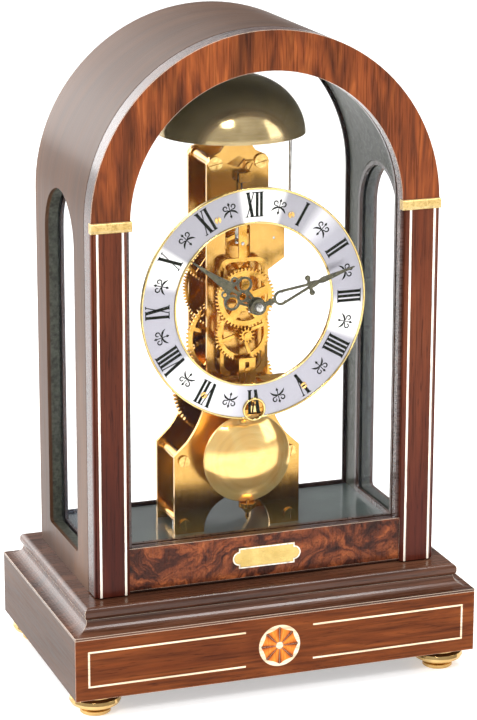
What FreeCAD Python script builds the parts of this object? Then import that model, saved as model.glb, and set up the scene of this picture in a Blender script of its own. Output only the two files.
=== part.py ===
import FreeCAD, Part
import os
import math

# Skeleton mantel clock in an arched glazed case.
# Millimetres; z is up from the resting plane, the dial faces -y, x = 0 is the middle of the front.

# ---- plinth and feet ----
FOOT_H = 14.0
FOOT_R = 16.0
FOOT_X = 113.0
FOOT_Y = 65.0
PLINTH_W = 260.0
PLINTH_D = 163.6
PLINTH_TOP = 52.7
PLINTH_WALL = 12.0
VENEER = 1.0
INLAY_DEPTH = 0.6
STRING_W = 1.0
STRING_LOW = 22.5
STRING_HIGH = 44.5
STRING_IN = 22.0
STRING_OUT = 121.5
ROSETTE_Z = 33.5
ROSETTE_R = 13.3
PETAL_OUT = 12.05
PETAL_WAIST = 10.7
PETAL_IN = 2.6
PETAL_GAP = 0.12
COVE_TOP = 61.3
COVE_SET = 10.4
SLAB_W = 242.4
SLAB_D = 147.2
SLAB_TOP = 69.0

# ---- arched case ----
ARCH_Z = 298.5
ARCH_R = 110.3
WALL = 12.0
INNER_R = ARCH_R - WALL
CASE_FRONT = -44.6
CASE_BACK = 60.0
FLOOR_TOP = 84.0
SIDE_Y = 8.25
SIDE_R = 31.25
SIDE_LOW = 87.0
SIDE_HIGH = 277.0
REBATE = 3.0
GLASS_T = 2.0
REAR_GLASS = 56.3

# ---- door ----
DOOR_FRONT = -59.0
DOOR_BACK = -45.4
DOOR_LOW = 69.8
DOOR_IN = 86.1
RAIL_TOP = 98.0
PILASTER_IN = 88.4
PILASTER_TOP = 295.0
CAPITAL_TOP = 301.0
PILASTER_FRONT = -60.2
PLAQUE_HALF = 18.25
PLAQUE_LOW = 77.3
PLAQUE_HIGH = 90.5
LOBE_X = 17.7
LOBE_R = 4.55
HINGE_X = 112.7
HINGE_Y = -45.0
HINGE_R = 2.2
HINGE_PIN_R = 1.0
HINGE_Z = (122.0, 262.0)
HINGE_H = 36.0

# ---- movement ----
PLATE_T = 2.4
FRONT_Y = -4.0
REAR_Y = 31.0
PLATE_IN = FRONT_Y + PLATE_T
CENTRE = (0.0, 237.5)
BARREL = (0.0, 171.0)
SECOND = (-5.0, 207.5)
THIRD = (-8.0, 266.76)
ESCAPE = (1.0, 293.0)
SWING = (1.0, 311.0)
HAMMER = (23.7, 270.5)
MINUTE = (0.0, 214.5)
CLICK = (4.3, 184.4)
PIVOT_R = 0.8
PIVOT_GAP = 0.03
BELL_Y = 9.0
BELL_R = 46.0
BELL_RIM = 336.4
BELL_H = 36.2
BELL_T = 1.8

# ---- dial and pendulum ----
DIAL_FRONT = -34.3
RING_OUT = 71.2
RING_IN = 51.4
BOB_Z = 135.0
BOB_R = 28.0
BOB_Y = -19.0
BOB_HALF = 9.0


def V(x, y, z):
    return FreeCAD.Vector(x, y, z)


def box(x0, x1, y0, y1, z0, z1):
    return Part.makeBox(x1 - x0, y1 - y0, z1 - z0, V(x0, y0, z0))


def rod_y(at, r, y0, y1):
    return Part.makeCylinder(r, y1 - y0, V(at[0], y0, at[1]), V(0, 1, 0))


def rod_z(x, y, r, z0, z1):
    return Part.makeCylinder(r, z1 - z0, V(x, y, z0), V(0, 0, 1))


def rod_x(y, z, r, x0, x1):
    return Part.makeCylinder(r, x1 - x0, V(x0, y, z), V(1, 0, 0))


def tube_y(at, r_out, r_in, y0, y1):
    return rod_y(at, r_out, y0, y1).cut(rod_y(at, r_in, y0 - 1, y1 + 1))


def polygon_y(points, y0, y1):
    wire = Part.makePolygon([V(x, y0, z) for x, z in points] + [V(points[0][0], y0, points[0][1])])
    return Part.Face(wire).extrude(V(0, y1 - y0, 0))


def polygon_x(points, x0, x1):
    wire = Part.makePolygon([V(x0, y, z) for y, z in points] + [V(x0, points[0][0], points[0][1])])
    return Part.Face(wire).extrude(V(x1 - x0, 0, 0))


def polygon_z(points, z0, z1):
    wire = Part.makePolygon([V(x, y, z0) for x, y in points] + [V(points[0][0], points[0][1], z0)])
    return Part.Face(wire).extrude(V(0, 0, z1 - z0))


def polar(at, r, a):
    return (at[0] + r * math.cos(a), at[1] + r * math.sin(a))


def union(parts):
    whole = parts[0]
    if len(parts) > 1:
        whole = whole.multiFuse(parts[1:])
    return whole.removeSplitter()


def mirror_x(shape):
    return shape.mirror(V(0, 0, 0), V(1, 0, 0))


def pair(shape):
    return [shape, mirror_x(shape)]


def turned(profile, x, y):
    """A piece turned about a vertical axis from (radius, height) points."""
    pts = [V(r, 0, z) for r, z in profile]
    face = Part.Face(Part.makePolygon(pts + [pts[0]]))
    solid = face.revolve(V(0, 0, 0), V(0, 0, 1), 360)
    solid.translate(V(x, y, 0))
    return solid


def arch_face(r, low, y):
    """An upright arch outline: straight sides down to low, half round at the top."""
    a = V(-r, y, low)
    b = V(r, y, low)
    c = V(r, y, ARCH_Z)
    d = V(-r, y, ARCH_Z)
    top = Part.Arc(c, V(0, y, ARCH_Z + r), d).toShape()
    return Part.Wire([Part.makeLine(a, b), Part.makeLine(b, c), top, Part.makeLine(d, a)])


def arch(r, low, y0, y1):
    return Part.Face(arch_face(r, low, y0)).extrude(V(0, y1 - y0, 0))


def slot_x(half, low, x0, x1, corner=3.0):
    """A side window cutter: flat sill with small round corners, half round head."""
    ya = SIDE_Y - half
    yb = SIDE_Y + half
    k = corner * (1 - math.sqrt(0.5))
    p = [
        V(x0, ya + corner, low),
        V(x0, yb - corner, low),
        V(x0, yb, low + corner),
        V(x0, yb, SIDE_HIGH),
        V(x0, ya, SIDE_HIGH),
        V(x0, ya, low + corner),
    ]
    edges = [
        Part.makeLine(p[0], p[1]),
        Part.Arc(p[1], V(x0, yb - k, low + k), p[2]).toShape(),
        Part.makeLine(p[2], p[3]),
        Part.Arc(p[3], V(x0, SIDE_Y, SIDE_HIGH + half), p[4]).toShape(),
        Part.makeLine(p[4], p[5]),
        Part.Arc(p[5], V(x0, ya + k, low + k), p[0]).toShape(),
    ]
    return Part.Face(Part.Wire(edges)).extrude(V(x1 - x0, 0, 0))


def out(name, shapes):
    if isinstance(shapes, list):
        shape = shapes[0] if len(shapes) == 1 else Part.makeCompound(shapes)
    else:
        shape = shapes
    shape.exportStep("parts/" + name + ".step")


# ------------------------------------------------------------------ case
def feet():
    profile = [
        (0, 0),
        (9.0, 0),
        (9.6, 0.6),
        (9.6, 2.4),
        (8.2, 3.2),
        (8.2, 4.0),
        (12.6, 5.0),
        (15.2, 6.6),
        (FOOT_R, 8.6),
        (15.4, 10.6),
        (13.2, 12.0),
        (13.2, FOOT_H),
        (2.4, FOOT_H),
        (2.4, FOOT_H + 7.0),
        (0, FOOT_H + 8.6),
    ]
    return [turned(profile, sx * FOOT_X, sy * FOOT_Y) for sx in (-1, 1) for sy in (-1, 1)]


def plinth_carcass():
    w = PLINTH_W / 2
    d = PLINTH_D / 2
    block = box(-w, w, -d + VENEER, d, FOOT_H, PLINTH_TOP)
    hollow = box(
        -w + PLINTH_WALL, w - PLINTH_WALL, -d + PLINTH_WALL, d - PLINTH_WALL, FOOT_H + 10, PLINTH_TOP + 1
    )
    body = block.cut(hollow)
    for sx in (-1, 1):
        for sy in (-1, 1):
            body = body.cut(rod_z(sx * FOOT_X, sy * FOOT_Y, 2.4, FOOT_H - 1, FOOT_H + 8.8))
    return body


def string_frame(side):
    """Two long strings joined at the outer end, open towards the rosette."""
    lo = min(STRING_IN * side, STRING_OUT * side)
    hi = max(STRING_IN * side, STRING_OUT * side)
    end = STRING_OUT * side
    y0 = -PLINTH_D / 2
    y1 = y0 + INLAY_DEPTH
    bars = [
        box(lo, hi, y0, y1, STRING_LOW - STRING_W / 2, STRING_LOW + STRING_W / 2),
        box(lo, hi, y0, y1, STRING_HIGH - STRING_W / 2, STRING_HIGH + STRING_W / 2),
        box(
            end - STRING_W / 2, end + STRING_W / 2, y0, y1, STRING_LOW - STRING_W / 2, STRING_HIGH + STRING_W / 2
        ),
    ]
    return union(bars)


def petal_corners(k):
    """Outer end of one petal: two corners with a hollow arc between them."""
    at = (0.0, ROSETTE_Z)
    mid = math.pi / 8 + k * math.pi / 4
    spread = math.pi / 8 - math.asin(PETAL_GAP / PETAL_OUT)
    return [polar(at, PETAL_OUT, mid - spread), polar(at, PETAL_WAIST, mid), polar(at, PETAL_OUT, mid + spread)]


def petal_arc(k):
    y0 = -PLINTH_D / 2
    b, c, d = petal_corners(k)
    return Part.Arc(V(b[0], y0, b[1]), V(c[0], y0, c[1]), V(d[0], y0, d[1])).toShape()


def petal(k):
    """One of the eight gores of the parasol rosette."""
    at = (0.0, ROSETTE_Z)
    mid = math.pi / 8 + k * math.pi / 4
    y0 = -PLINTH_D / 2
    spread = math.pi / 8 - math.asin(PETAL_GAP / PETAL_IN)
    b, c, d = petal_corners(k)
    a = polar(at, PETAL_IN, mid - spread)
    e = polar(at, PETAL_IN, mid + spread)
    edges = [
        Part.makeLine(V(a[0], y0, a[1]), V(b[0], y0, b[1])),
        petal_arc(k),
        Part.makeLine(V(d[0], y0, d[1]), V(e[0], y0, e[1])),
        Part.makeLine(V(e[0], y0, e[1]), V(a[0], y0, a[1])),
    ]
    return Part.Face(Part.Wire(edges)).extrude(V(0, INLAY_DEPTH, 0))


def rosette_ground():
    """Round cream ground of the rosette with the outline of the eight gores taken out."""
    y0 = -PLINTH_D / 2
    edges = []
    for k in range(8):
        d = petal_corners(k)[2]
        b = petal_corners(k + 1)[0]
        edges.append(petal_arc(k))
        edges.append(Part.makeLine(V(d[0], y0, d[1]), V(b[0], y0, b[1])))
    parasol = Part.Face(Part.Wire(edges)).extrude(V(0, INLAY_DEPTH, 0))
    return rod_y((0.0, ROSETTE_Z), ROSETTE_R, y0, y0 + INLAY_DEPTH).cut(parasol)


def cove():
    """Mitred hollow moulding between the plinth and the slab."""
    w = PLINTH_W / 2
    d = PLINTH_D / 2
    h = COVE_TOP - PLINTH_TOP
    lip = 1.6

    def outline(half):
        pts = [(half, PLINTH_TOP), (half, PLINTH_TOP + lip)]
        n = 8
        for i in range(n + 1):
            a = math.pi / 2 * i / n
            pts.append((half - 0.8 - (COVE_SET - 0.8) * math.sin(a), COVE_TOP - (h - lip) * math.cos(a)))
        return pts

    side = outline(w)
    front = outline(d)
    px = side + [(-x, z) for x, z in reversed(side)]
    py = front + [(-y, z) for y, z in reversed(front)]
    frame = polygon_y(px, -d - 1, d + 1).common(polygon_x(py, -w - 1, w + 1))
    return frame.cut(box(-w + 24, w - 24, -d + 22, d - 22, PLINTH_TOP - 1, COVE_TOP + 1))


def slab():
    board = box(-SLAB_W / 2, SLAB_W / 2, -SLAB_D / 2, SLAB_D / 2, COVE_TOP, SLAB_TOP)
    edges = []
    for e in board.Edges:
        c = e.CenterOfMass
        if abs(c.z - COVE_TOP) < 0.01 or abs(c.z - SLAB_TOP) < 0.01:
            edges.append(e)
    return board.makeFillet(3.2, edges)


def tunnel():
    shell = arch(ARCH_R, SLAB_TOP, CASE_FRONT, CASE_BACK)
    shell = shell.cut(arch(INNER_R, SLAB_TOP - 1, CASE_FRONT - 1, CASE_BACK + 1))
    shell = shell.cut(arch(INNER_R + 4, SLAB_TOP - 1, REAR_GLASS, CASE_BACK + 1))
    for s in (-1, 1):
        lo, hi = sorted((s * (INNER_R - 4), s * (ARCH_R + 1)))
        shell = shell.cut(slot_x(SIDE_R, SIDE_LOW, lo, hi))
        lo, hi = sorted((s * (INNER_R - 4), s * (INNER_R + 4)))
        shell = shell.cut(slot_x(SIDE_R + REBATE, SIDE_LOW - REBATE, lo, hi))
    shell = shell.cut(rod_y((-104.3, 190.0), 3.0, CASE_FRONT - 1, CASE_FRONT + 9))
    for z in hinge_screw_heights():
        shell = shell.cut(hinge_screw(z, 1))
    return shell


def case_glasses():
    panes = []
    for s in (-1, 1):
        lo, hi = sorted((s * (INNER_R + 2), s * (INNER_R + 4)))
        panes.append(slot_x(SIDE_R + REBATE, SIDE_LOW - REBATE, lo, hi))
    panes.append(arch(INNER_R + 4, SLAB_TOP, REAR_GLASS, REAR_GLASS + GLASS_T))
    return panes


def case_beads():
    beads = []
    for s in (-1, 1):
        lo, hi = sorted((s * INNER_R, s * (INNER_R + 2)))
        outer = slot_x(SIDE_R + REBATE, SIDE_LOW - REBATE, lo, hi)
        beads.append(outer.cut(slot_x(SIDE_R, SIDE_LOW, lo - 1, hi + 1)))
    rear = arch(INNER_R + 4, SLAB_TOP, REAR_GLASS + GLASS_T, CASE_BACK)
    beads.append(rear.cut(arch(INNER_R - 2, FLOOR_TOP + 2, REAR_GLASS, CASE_BACK + 1)))
    return beads


def interior_floor():
    board = box(-INNER_R, INNER_R, CASE_FRONT, REAR_GLASS, SLAB_TOP, FLOOR_TOP)
    for s in (-1, 1):
        board = board.cut(rod_z(s * 35.0, 14.7, 4.2, SLAB_TOP - 1, SLAB_TOP + 5))
        board = board.cut(rod_z(s * 35.0, 14.7, 2.0, SLAB_TOP, FLOOR_TOP + 1))
    return board


def seat_screws():
    screws = []
    for s in (-1, 1):
        head = rod_z(s * 35.0, 14.7, 4.2, SLAB_TOP + 1.5, SLAB_TOP + 5)
        screws.append(head.fuse(rod_z(s * 35.0, 14.7, 2.0, SLAB_TOP + 5, 90.0)))
    return screws


# ------------------------------------------------------------------ door
def hinge_screw_heights():
    return [z + dz for z in HINGE_Z for dz in (-12.0, 12.0)]


def hinge_screw(z, way):
    """A small countersunk screw through a hinge leaf; way 1 is in the case, -1 in the door."""
    y = HINGE_Y + way * 6.5
    head = Part.makeCone(0.9, 1.7, 1.0, V(ARCH_R, y, z), V(1, 0, 0))
    return head.fuse(rod_x(y, z, 0.9, ARCH_R - 7, ARCH_R))


def hinge_leaf(z, way):
    """Leaf with its knuckles: two knuckles and the pin on the case, the middle one on the door."""
    low = z - HINGE_H / 2
    high = z + HINGE_H / 2
    third = HINGE_H / 3
    far = HINGE_Y + way * 11.0
    near = HINGE_Y + way * 0.9
    clear = HINGE_Y + way * (HINGE_R + 0.5)
    if way > 0:
        spans = [(low, low + third - 0.1), (high - third + 0.1, high)]
    else:
        spans = [(low + third, high - third)]
    y0, y1 = sorted((clear, far))
    parts = [box(ARCH_R, ARCH_R + 1.0, y0, y1, low, high)]
    for a, b in spans:
        y0, y1 = sorted((near, clear))
        parts.append(box(ARCH_R, ARCH_R + 1.0, y0, y1, a, b))
        y0, y1 = sorted((HINGE_Y, near))
        parts.append(rod_z(HINGE_X, HINGE_Y, HINGE_R, a, b))
        parts.append(box(ARCH_R + 0.35, ARCH_R + 1.0, y0 + way * 0.45, y1, a, b))
    leaf = union(parts)
    if way > 0:
        leaf = leaf.fuse(rod_z(HINGE_X, HINGE_Y, HINGE_PIN_R, low, high)).removeSplitter()
    else:
        leaf = leaf.cut(rod_z(HINGE_X, HINGE_Y, HINGE_PIN_R + 0.05, low - 1, high + 1))
    for dz in (-12.0, 12.0):
        leaf = leaf.cut(hinge_screw(z + dz, way))
    return leaf


def door_frame():
    frame = arch(ARCH_R, DOOR_LOW, DOOR_FRONT + VENEER, DOOR_BACK)
    frame = frame.cut(arch(DOOR_IN, RAIL_TOP, DOOR_FRONT - 1, DOOR_BACK + 1))
    frame = frame.cut(arch(DOOR_IN + 4, RAIL_TOP - 4, -51.0, DOOR_BACK + 1))
    lower = box(-120, 120, DOOR_FRONT - 2, -56.0, DOOR_LOW - 1, CAPITAL_TOP)
    middle = box(-PILASTER_IN, PILASTER_IN, DOOR_FRONT - 3, -56.9, DOOR_LOW - 1, RAIL_TOP)
    sides = lower.cut(box(-PILASTER_IN, PILASTER_IN, DOOR_FRONT - 3, -55.0, DOOR_LOW - 2, RAIL_TOP))
    frame = frame.cut(sides).cut(middle)
    frame = frame.cut(Part.makeSphere(1.9, V(-104.3, CASE_FRONT + 0.7, 190.0)))
    for z in hinge_screw_heights():
        frame = frame.cut(hinge_screw(z, -1))
    return frame


def door_veneer():
    ring = arch(ARCH_R, 200.0, DOOR_FRONT, DOOR_FRONT + VENEER)
    ring = ring.cut(arch(DOOR_IN, 190.0, DOOR_FRONT - 1, DOOR_BACK))
    ring = ring.cut(box(-120, 120, DOOR_FRONT - 1, DOOR_BACK, 180.0, CAPITAL_TOP))
    rail = box(-PILASTER_IN, PILASTER_IN, -57.7, -56.9, 71.0, RAIL_TOP)
    return [ring, rail]


def pilaster_outline():
    """Plan of the right-hand pilaster: flat face, bevelled edges, and a small bead along the outer corner."""
    return [
        (PILASTER_IN, -56.0),
        (PILASTER_IN, -58.6),
        (90.0, PILASTER_FRONT),
        (107.9, PILASTER_FRONT),
        (108.9, -59.2),
        (108.9, -58.4),
        (109.3, -58.8),
        (ARCH_R - 0.3, -58.8),
        (ARCH_R, -58.4),
        (ARCH_R, -56.0),
    ]


def stringing_boxes():
    return [
        box(90.45, 91.85, -61, -58.2, DOOR_LOW - 1, PILASTER_TOP + 1),
        box(106.05, 107.45, -61, -58.2, DOOR_LOW - 1, PILASTER_TOP + 1),
    ]


def pilaster():
    post = polygon_z(pilaster_outline(), DOOR_LOW, PILASTER_TOP)
    for b in stringing_boxes():
        post = post.cut(b)
    return post


def pilaster_strings():
    post = polygon_z(pilaster_outline(), DOOR_LOW, PILASTER_TOP)
    return [post.common(b) for b in stringing_boxes()]


def capital():
    """Small brass capital: a block with a chamfered top edge and a sunk band."""
    profile = [
        (-56.0, PILASTER_TOP),
        (-60.5, PILASTER_TOP),
        (-60.9, PILASTER_TOP + 0.5),
        (-60.9, CAPITAL_TOP - 0.6),
        (-60.4, CAPITAL_TOP),
        (-56.0, CAPITAL_TOP),
    ]
    block = polygon_x(profile, 85.5, 110.7)
    band = box(84, 112, -62, -60.6, PILASTER_TOP + 1.0, PILASTER_TOP + 1.5)
    return block.cut(band)


def nameplate():
    """Blank plaque: a rectangle with a round lobe at each end and a raised panel of the same shape."""
    mid = (PLAQUE_LOW + PLAQUE_HIGH) / 2
    solids = []
    for inset, back, front in ((0.0, -57.7, -58.5), (1.0, -58.5, -58.7)):
        half = PLAQUE_HALF - inset
        solids.append(box(-half, half, front, back, PLAQUE_LOW + inset, PLAQUE_HIGH - inset))
        for s in (-1, 1):
            solids.append(rod_y((s * LOBE_X, mid), LOBE_R - inset, front, back))
    return union(solids)


def door_glass():
    return arch(DOOR_IN + 4, RAIL_TOP - 4, -51.0, -49.0)


def door_bead():
    bead = arch(DOOR_IN + 4, RAIL_TOP - 4, -49.0, -46.2)
    return bead.cut(arch(DOOR_IN, RAIL_TOP, -50, -45))


def ball_catch():
    barrel = rod_y((-104.3, 190.0), 3.0, CASE_FRONT, CASE_FRONT + 9)
    return barrel.fuse(Part.makeSphere(1.5, V(-104.3, CASE_FRONT + 0.7, 190.0)))


# ------------------------------------------------------------------ movement frame
def plate_outline(y, lobe):
    """Outline of a movement plate: broad foot, waisted column, shoulders and a neck for the bell."""
    right = [(41.5, FLOOR_TOP), (41.5, 135.4), (33.0, 143.5)]
    column = [(20.0, 176.0)]
    if lobe:
        column += [(20.0, 250.5), (30.6, 257.5), (30.6, 287.0), (27.5, 290.0), (20.0, 290.0)]
    top = [(20.0, 319.0), (18.0, 323.5), (11.5, 326.5), (8.0, 331.5), (8.0, 344.0)]
    pts_r = [V(x, y, z) for x, z in right]
    col_r = [V(x, y, z) for x, z in column + top]
    col_l = [V(-x, y, z) for x, z in [(20.0, 176.0)] + top]
    edges = [Part.makeLine(pts_r[0], pts_r[1]), Part.makeLine(pts_r[1], pts_r[2])]
    edges.append(Part.Arc(pts_r[2], V(24.8, y, 157.0), col_r[0]).toShape())
    for a, b in zip(col_r, col_r[1:]):
        edges.append(Part.makeLine(a, b))
    edges.append(Part.makeLine(col_r[-1], col_l[-1]))
    col_l.reverse()
    for a, b in zip(col_l, col_l[1:]):
        edges.append(Part.makeLine(a, b))
    left = [V(-33.0, y, 143.5), V(-41.5, y, 135.4), V(-41.5, y, FLOOR_TOP), V(-22.0, y, FLOOR_TOP)]
    edges.append(Part.Arc(col_l[-1], V(-24.8, y, 157.0), left[0]).toShape())
    for a, b in zip(left, left[1:]):
        edges.append(Part.makeLine(a, b))
    edges.append(Part.Arc(left[-1], V(0, y, 106.5), V(22.0, y, FLOOR_TOP)).toShape())
    edges.append(Part.makeLine(V(22.0, y, FLOOR_TOP), pts_r[0]))
    return Part.Wire(edges)


PILLARS = [(-35.0, 90.0), (35.0, 90.0), (-35.5, 132.0), (35.5, 132.0), (-15.0, 319.5), (15.0, 319.5)]
BRIDGE_POSTS = [(-16.0, 291.5), (16.0, 291.5), (-16.0, 183.2), (16.0, 183.2)]
BELL_SCREW = (0.0, 339.0)


def rounded_window(x0, x1, z0, z1, r):
    """A straight-sided window cutter with round corners, through everything from front to back."""
    y0 = -60.0
    y1 = 60.0
    core = box(x0 + r, x1 - r, y0, y1, z0, z1).fuse(box(x0, x1, y0, y1, z0 + r, z1 - r))
    for x in (x0 + r, x1 - r):
        for z in (z0 + r, z1 - r):
            core = core.fuse(rod_y((x, z), r, y0, y1))
    return core


def front_plate():
    y0 = FRONT_Y
    plate = Part.Face(plate_outline(y0, True)).extrude(V(0, PLATE_T, 0))
    plate = plate.cut(rounded_window(-8.0, 8.0, 252.0, 281.0, 2.5))
    plate = plate.cut(rounded_window(-14.0, -9.0, 196.5, 209.5, 2.0))
    plate = plate.cut(rounded_window(7.0, 16.0, 222.0, 229.0, 2.0))
    plate = plate.cut(rounded_window(-16.0, -8.6, 160.0, 176.0, 2.0))
    plate = plate.cut(polygon_y([(-7.0, 319.0), (0.5, 323.4), (4.6, 321.2), (0.5, 316.4)], y0 - 1, y0 + 4))
    for at in PILLARS + [BELL_SCREW] + BRIDGE_POSTS:
        plate = plate.cut(rod_y(at, 1.3, y0 - 1, y0 + 4))
    for at in (SECOND, THIRD, ESCAPE, SWING, HAMMER):
        plate = plate.cut(rod_y(at, PIVOT_R + PIVOT_GAP, y0 - 1, y0 + 4))
    plate = plate.cut(rod_y(CENTRE, 1.30, y0 - 1, y0 + 4))
    plate = plate.cut(rod_y(BARREL, 3.04, y0 - 1, y0 + 4))
    for at in (MINUTE, CLICK):
        plate = plate.cut(rod_y(at, 1.2, y0 - 1, y0 + 4))
    plate = plate.cut(rod_y((6.9, 317.2), 1.1, y0 - 1, y0 + 4))
    return plate


def rear_plate():
    y0 = REAR_Y
    plate = Part.Face(plate_outline(y0, True)).extrude(V(0, PLATE_T, 0))
    for at in PILLARS + [BELL_SCREW]:
        plate = plate.cut(rod_y(at, 1.3, y0 - 1, y0 + 4))
    for at in (SECOND, THIRD, ESCAPE, SWING, HAMMER, CENTRE):
        plate = plate.cut(rod_y(at, PIVOT_R + PIVOT_GAP, y0 - 1, y0 + 4))
    plate = plate.cut(rod_y(BARREL, 3.04, y0 - 1, y0 + 4))
    return plate


def plate_pillars():
    posts = []
    for at in PILLARS:
        body = union(
            [
                rod_y(at, 3.4, PLATE_IN, REAR_Y),
                rod_y(at, 4.4, PLATE_IN, PLATE_IN + 2.0),
                rod_y(at, 4.4, REAR_Y - 2.0, REAR_Y),
            ]
        )
        body = body.cut(rod_y(at, 1.3, PLATE_IN - 1, PLATE_IN + 8))
        body = body.cut(rod_y(at, 1.3, REAR_Y - 8, REAR_Y + 1))
        if at[1] < 100:
            body = body.cut(rod_z(at[0], 14.7, 2.0, 80, 90.0))
        posts.append(body)
    return posts


def cheese_screw(at, r_head, head, r, length, y_face, way):
    """Slotted screw whose head stands on the face at y_face; way -1 faces the front."""
    if way < 0:
        body = rod_y(at, r_head, y_face - head, y_face).fuse(rod_y(at, r, y_face, y_face + length))
        slot = box(at[0] - r_head - 1, at[0] + r_head + 1, y_face - head - 1, y_face - head + 0.7, -0.45, 0.45)
    else:
        body = rod_y(at, r_head, y_face, y_face + head).fuse(rod_y(at, r, y_face - length, y_face))
        slot = box(at[0] - r_head - 1, at[0] + r_head + 1, y_face + head - 0.7, y_face + head + 1, -0.45, 0.45)
    slot.translate(V(0, 0, at[1]))
    turn = 35.0 + 47.0 * (abs(at[0]) + at[1]) / 10.0
    slot.rotate(V(at[0], 0, at[1]), V(0, 1, 0), turn % 180)
    return body.cut(slot)


def plate_screws():
    screws = []
    for at in PILLARS + [BELL_SCREW]:
        head = 4.6 if at[1] > 300 else 3.6
        if at == BELL_SCREW:
            head = 2.6
        screws.append(cheese_screw(at, head, 1.8, 1.3, PLATE_T + 6, FRONT_Y, -1))
        screws.append(cheese_screw(at, head, 1.8, 1.3, PLATE_T + 6, REAR_Y + PLATE_T, 1))
    return screws


def bell_stand():
    """Bar between the plate necks with the post that carries the bell."""
    bar = box(-5.0, 5.0, PLATE_IN, REAR_Y, 336.4, 341.6)
    bar = bar.cut(rod_y(BELL_SCREW, 1.3, PLATE_IN - 1, PLATE_IN + 7))
    bar = bar.cut(rod_y(BELL_SCREW, 1.3, REAR_Y - 7, REAR_Y + 1))
    crown = BELL_RIM + BELL_H
    post = turned(
        [
            (0, 341.0),
            (4.2, 341.0),
            (4.2, 343.5),
            (3.0, 345.0),
            (3.0, crown - 4.2),
            (4.4, crown - 3.2),
            (4.4, crown - BELL_T),
            (1.8, crown - BELL_T),
            (1.8, crown + 4.0),
            (0, crown + 4.6),
        ],
        0,
        BELL_Y,
    )
    return union([bar, post])


def bell():
    """Deep bowl with steep sides and a plain rim."""
    crown = BELL_RIM + BELL_H

    def curve(r, top, low):
        pts = []
        n = 14
        for i in range(n + 1):
            a = math.pi / 2 * i / n
            pts.append(V(r * math.cos(a) ** 0.86 if i < n else 0, 0, low + (top - low) * math.sin(a) ** 1.08))
        return pts

    outer = curve(BELL_R, crown, BELL_RIM)
    inner = curve(BELL_R - BELL_T, crown - BELL_T, BELL_RIM)
    s_out = Part.BSplineCurve()
    s_out.interpolate(outer)
    s_in = Part.BSplineCurve()
    s_in.interpolate(inner)
    edges = [
        s_out.toShape(),
        Part.makeLine(outer[-1], inner[-1]),
        s_in.toShape(),
        Part.makeLine(inner[0], outer[0]),
    ]
    face = Part.Face(Part.Wire(Part.__sortEdges__(edges)))
    shell = face.revolve(V(0, 0, 0), V(0, 0, 1), 360)
    shell = Part.makeSolid(shell.Shells[0]) if shell.ShapeType != "Solid" else shell
    shell.translate(V(0, BELL_Y, 0))
    flat = rod_z(0, BELL_Y, 4.4, crown - 6, crown - BELL_T)
    shell = shell.cut(flat)
    return shell.cut(rod_z(0, BELL_Y, 1.8, crown - 6, crown + 3))


def bell_nut():
    crown = BELL_RIM + BELL_H
    pts = [(4.0 * math.cos(math.pi * k / 3), BELL_Y + 4.0 * math.sin(math.pi * k / 3)) for k in range(6)]
    nut = polygon_z(pts, crown + 0.0, crown + 3.0)
    return nut.cut(rod_z(0, BELL_Y, 1.8, crown - 1, crown + 4))


def suspension_cock():
    """Bracket on the front plate with two lugs and the pin that the pendulum hangs from."""
    x = SWING[0]
    base = box(x + 3.0, x + 8.8, -6.2, FRONT_Y, 308.2, 320.4)
    arm = box(x + 3.0, x + 5.4, -11.0, FRONT_Y, 308.2, 314.5)
    back = box(x - 2.4, x + 5.4, -6.0, -4.7, 308.2, 314.0)
    front = box(x - 2.4, x + 5.4, -11.0, -9.8, 308.2, 314.0)
    pin = rod_y(SWING, 0.8, -11.4, -4.7)
    body = union([base, arm, back, front, pin])
    body = body.cut(rod_y((6.9, 317.2), 1.1, -12, -3))
    head = cheese_screw((6.9, 317.2), 2.6, 1.4, 1.1, 4.4, -6.2, -1)
    return [body, head]


def dial_bridges():
    """Two bars riveted in front of the plate; four pillars on them carry the chapter ring."""
    bars = []
    for z, reach, ring_z in ((291.5, 23.5, 291.5), (183.2, 32.5, 183.2)):
        parts = [box(-reach - 3.2, reach + 3.2, -14.6, -12.6, z - 2.6, z + 2.6)]
        for s in (-1, 1):
            parts.append(rod_y((s * 16.0, z), 2.4, -12.6, FRONT_Y))
            parts.append(rod_y((s * reach, ring_z), 2.0, DIAL_FRONT + 1.0, -14.6))
        bar = union(parts)
        for s in (-1, 1):
            bar = bar.fuse(rod_y((s * 16.0, z), 1.3, FRONT_Y, PLATE_IN + 0.2))
            bar = bar.fuse(rod_y((s * 16.0, z), 1.9, PLATE_IN, PLATE_IN + 0.5))
            bar = bar.cut(rod_y((s * reach, ring_z), 0.9, DIAL_FRONT, DIAL_FRONT + 7))
        bars.append(bar)
    return bars


DIAL_SCREWS = [(-23.5, 291.5), (23.5, 291.5), (-32.5, 183.2), (32.5, 183.2)]


def dial_screws():
    return [cheese_screw(at, 2.0, 0.7, 0.9, 6.0, DIAL_FRONT, -1) for at in DIAL_SCREWS]


def chapter_ring():
    ring = tube_y(CENTRE, RING_OUT, RING_IN, DIAL_FRONT, DIAL_FRONT + 1.0)
    ring = ring.cut(rod_y(BARREL, 7.4, DIAL_FRONT - 1, DIAL_FRONT + 2))
    for at in DIAL_SCREWS:
        ring = ring.cut(rod_y(at, 0.9, DIAL_FRONT - 1, DIAL_FRONT + 2))
    return ring


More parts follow.
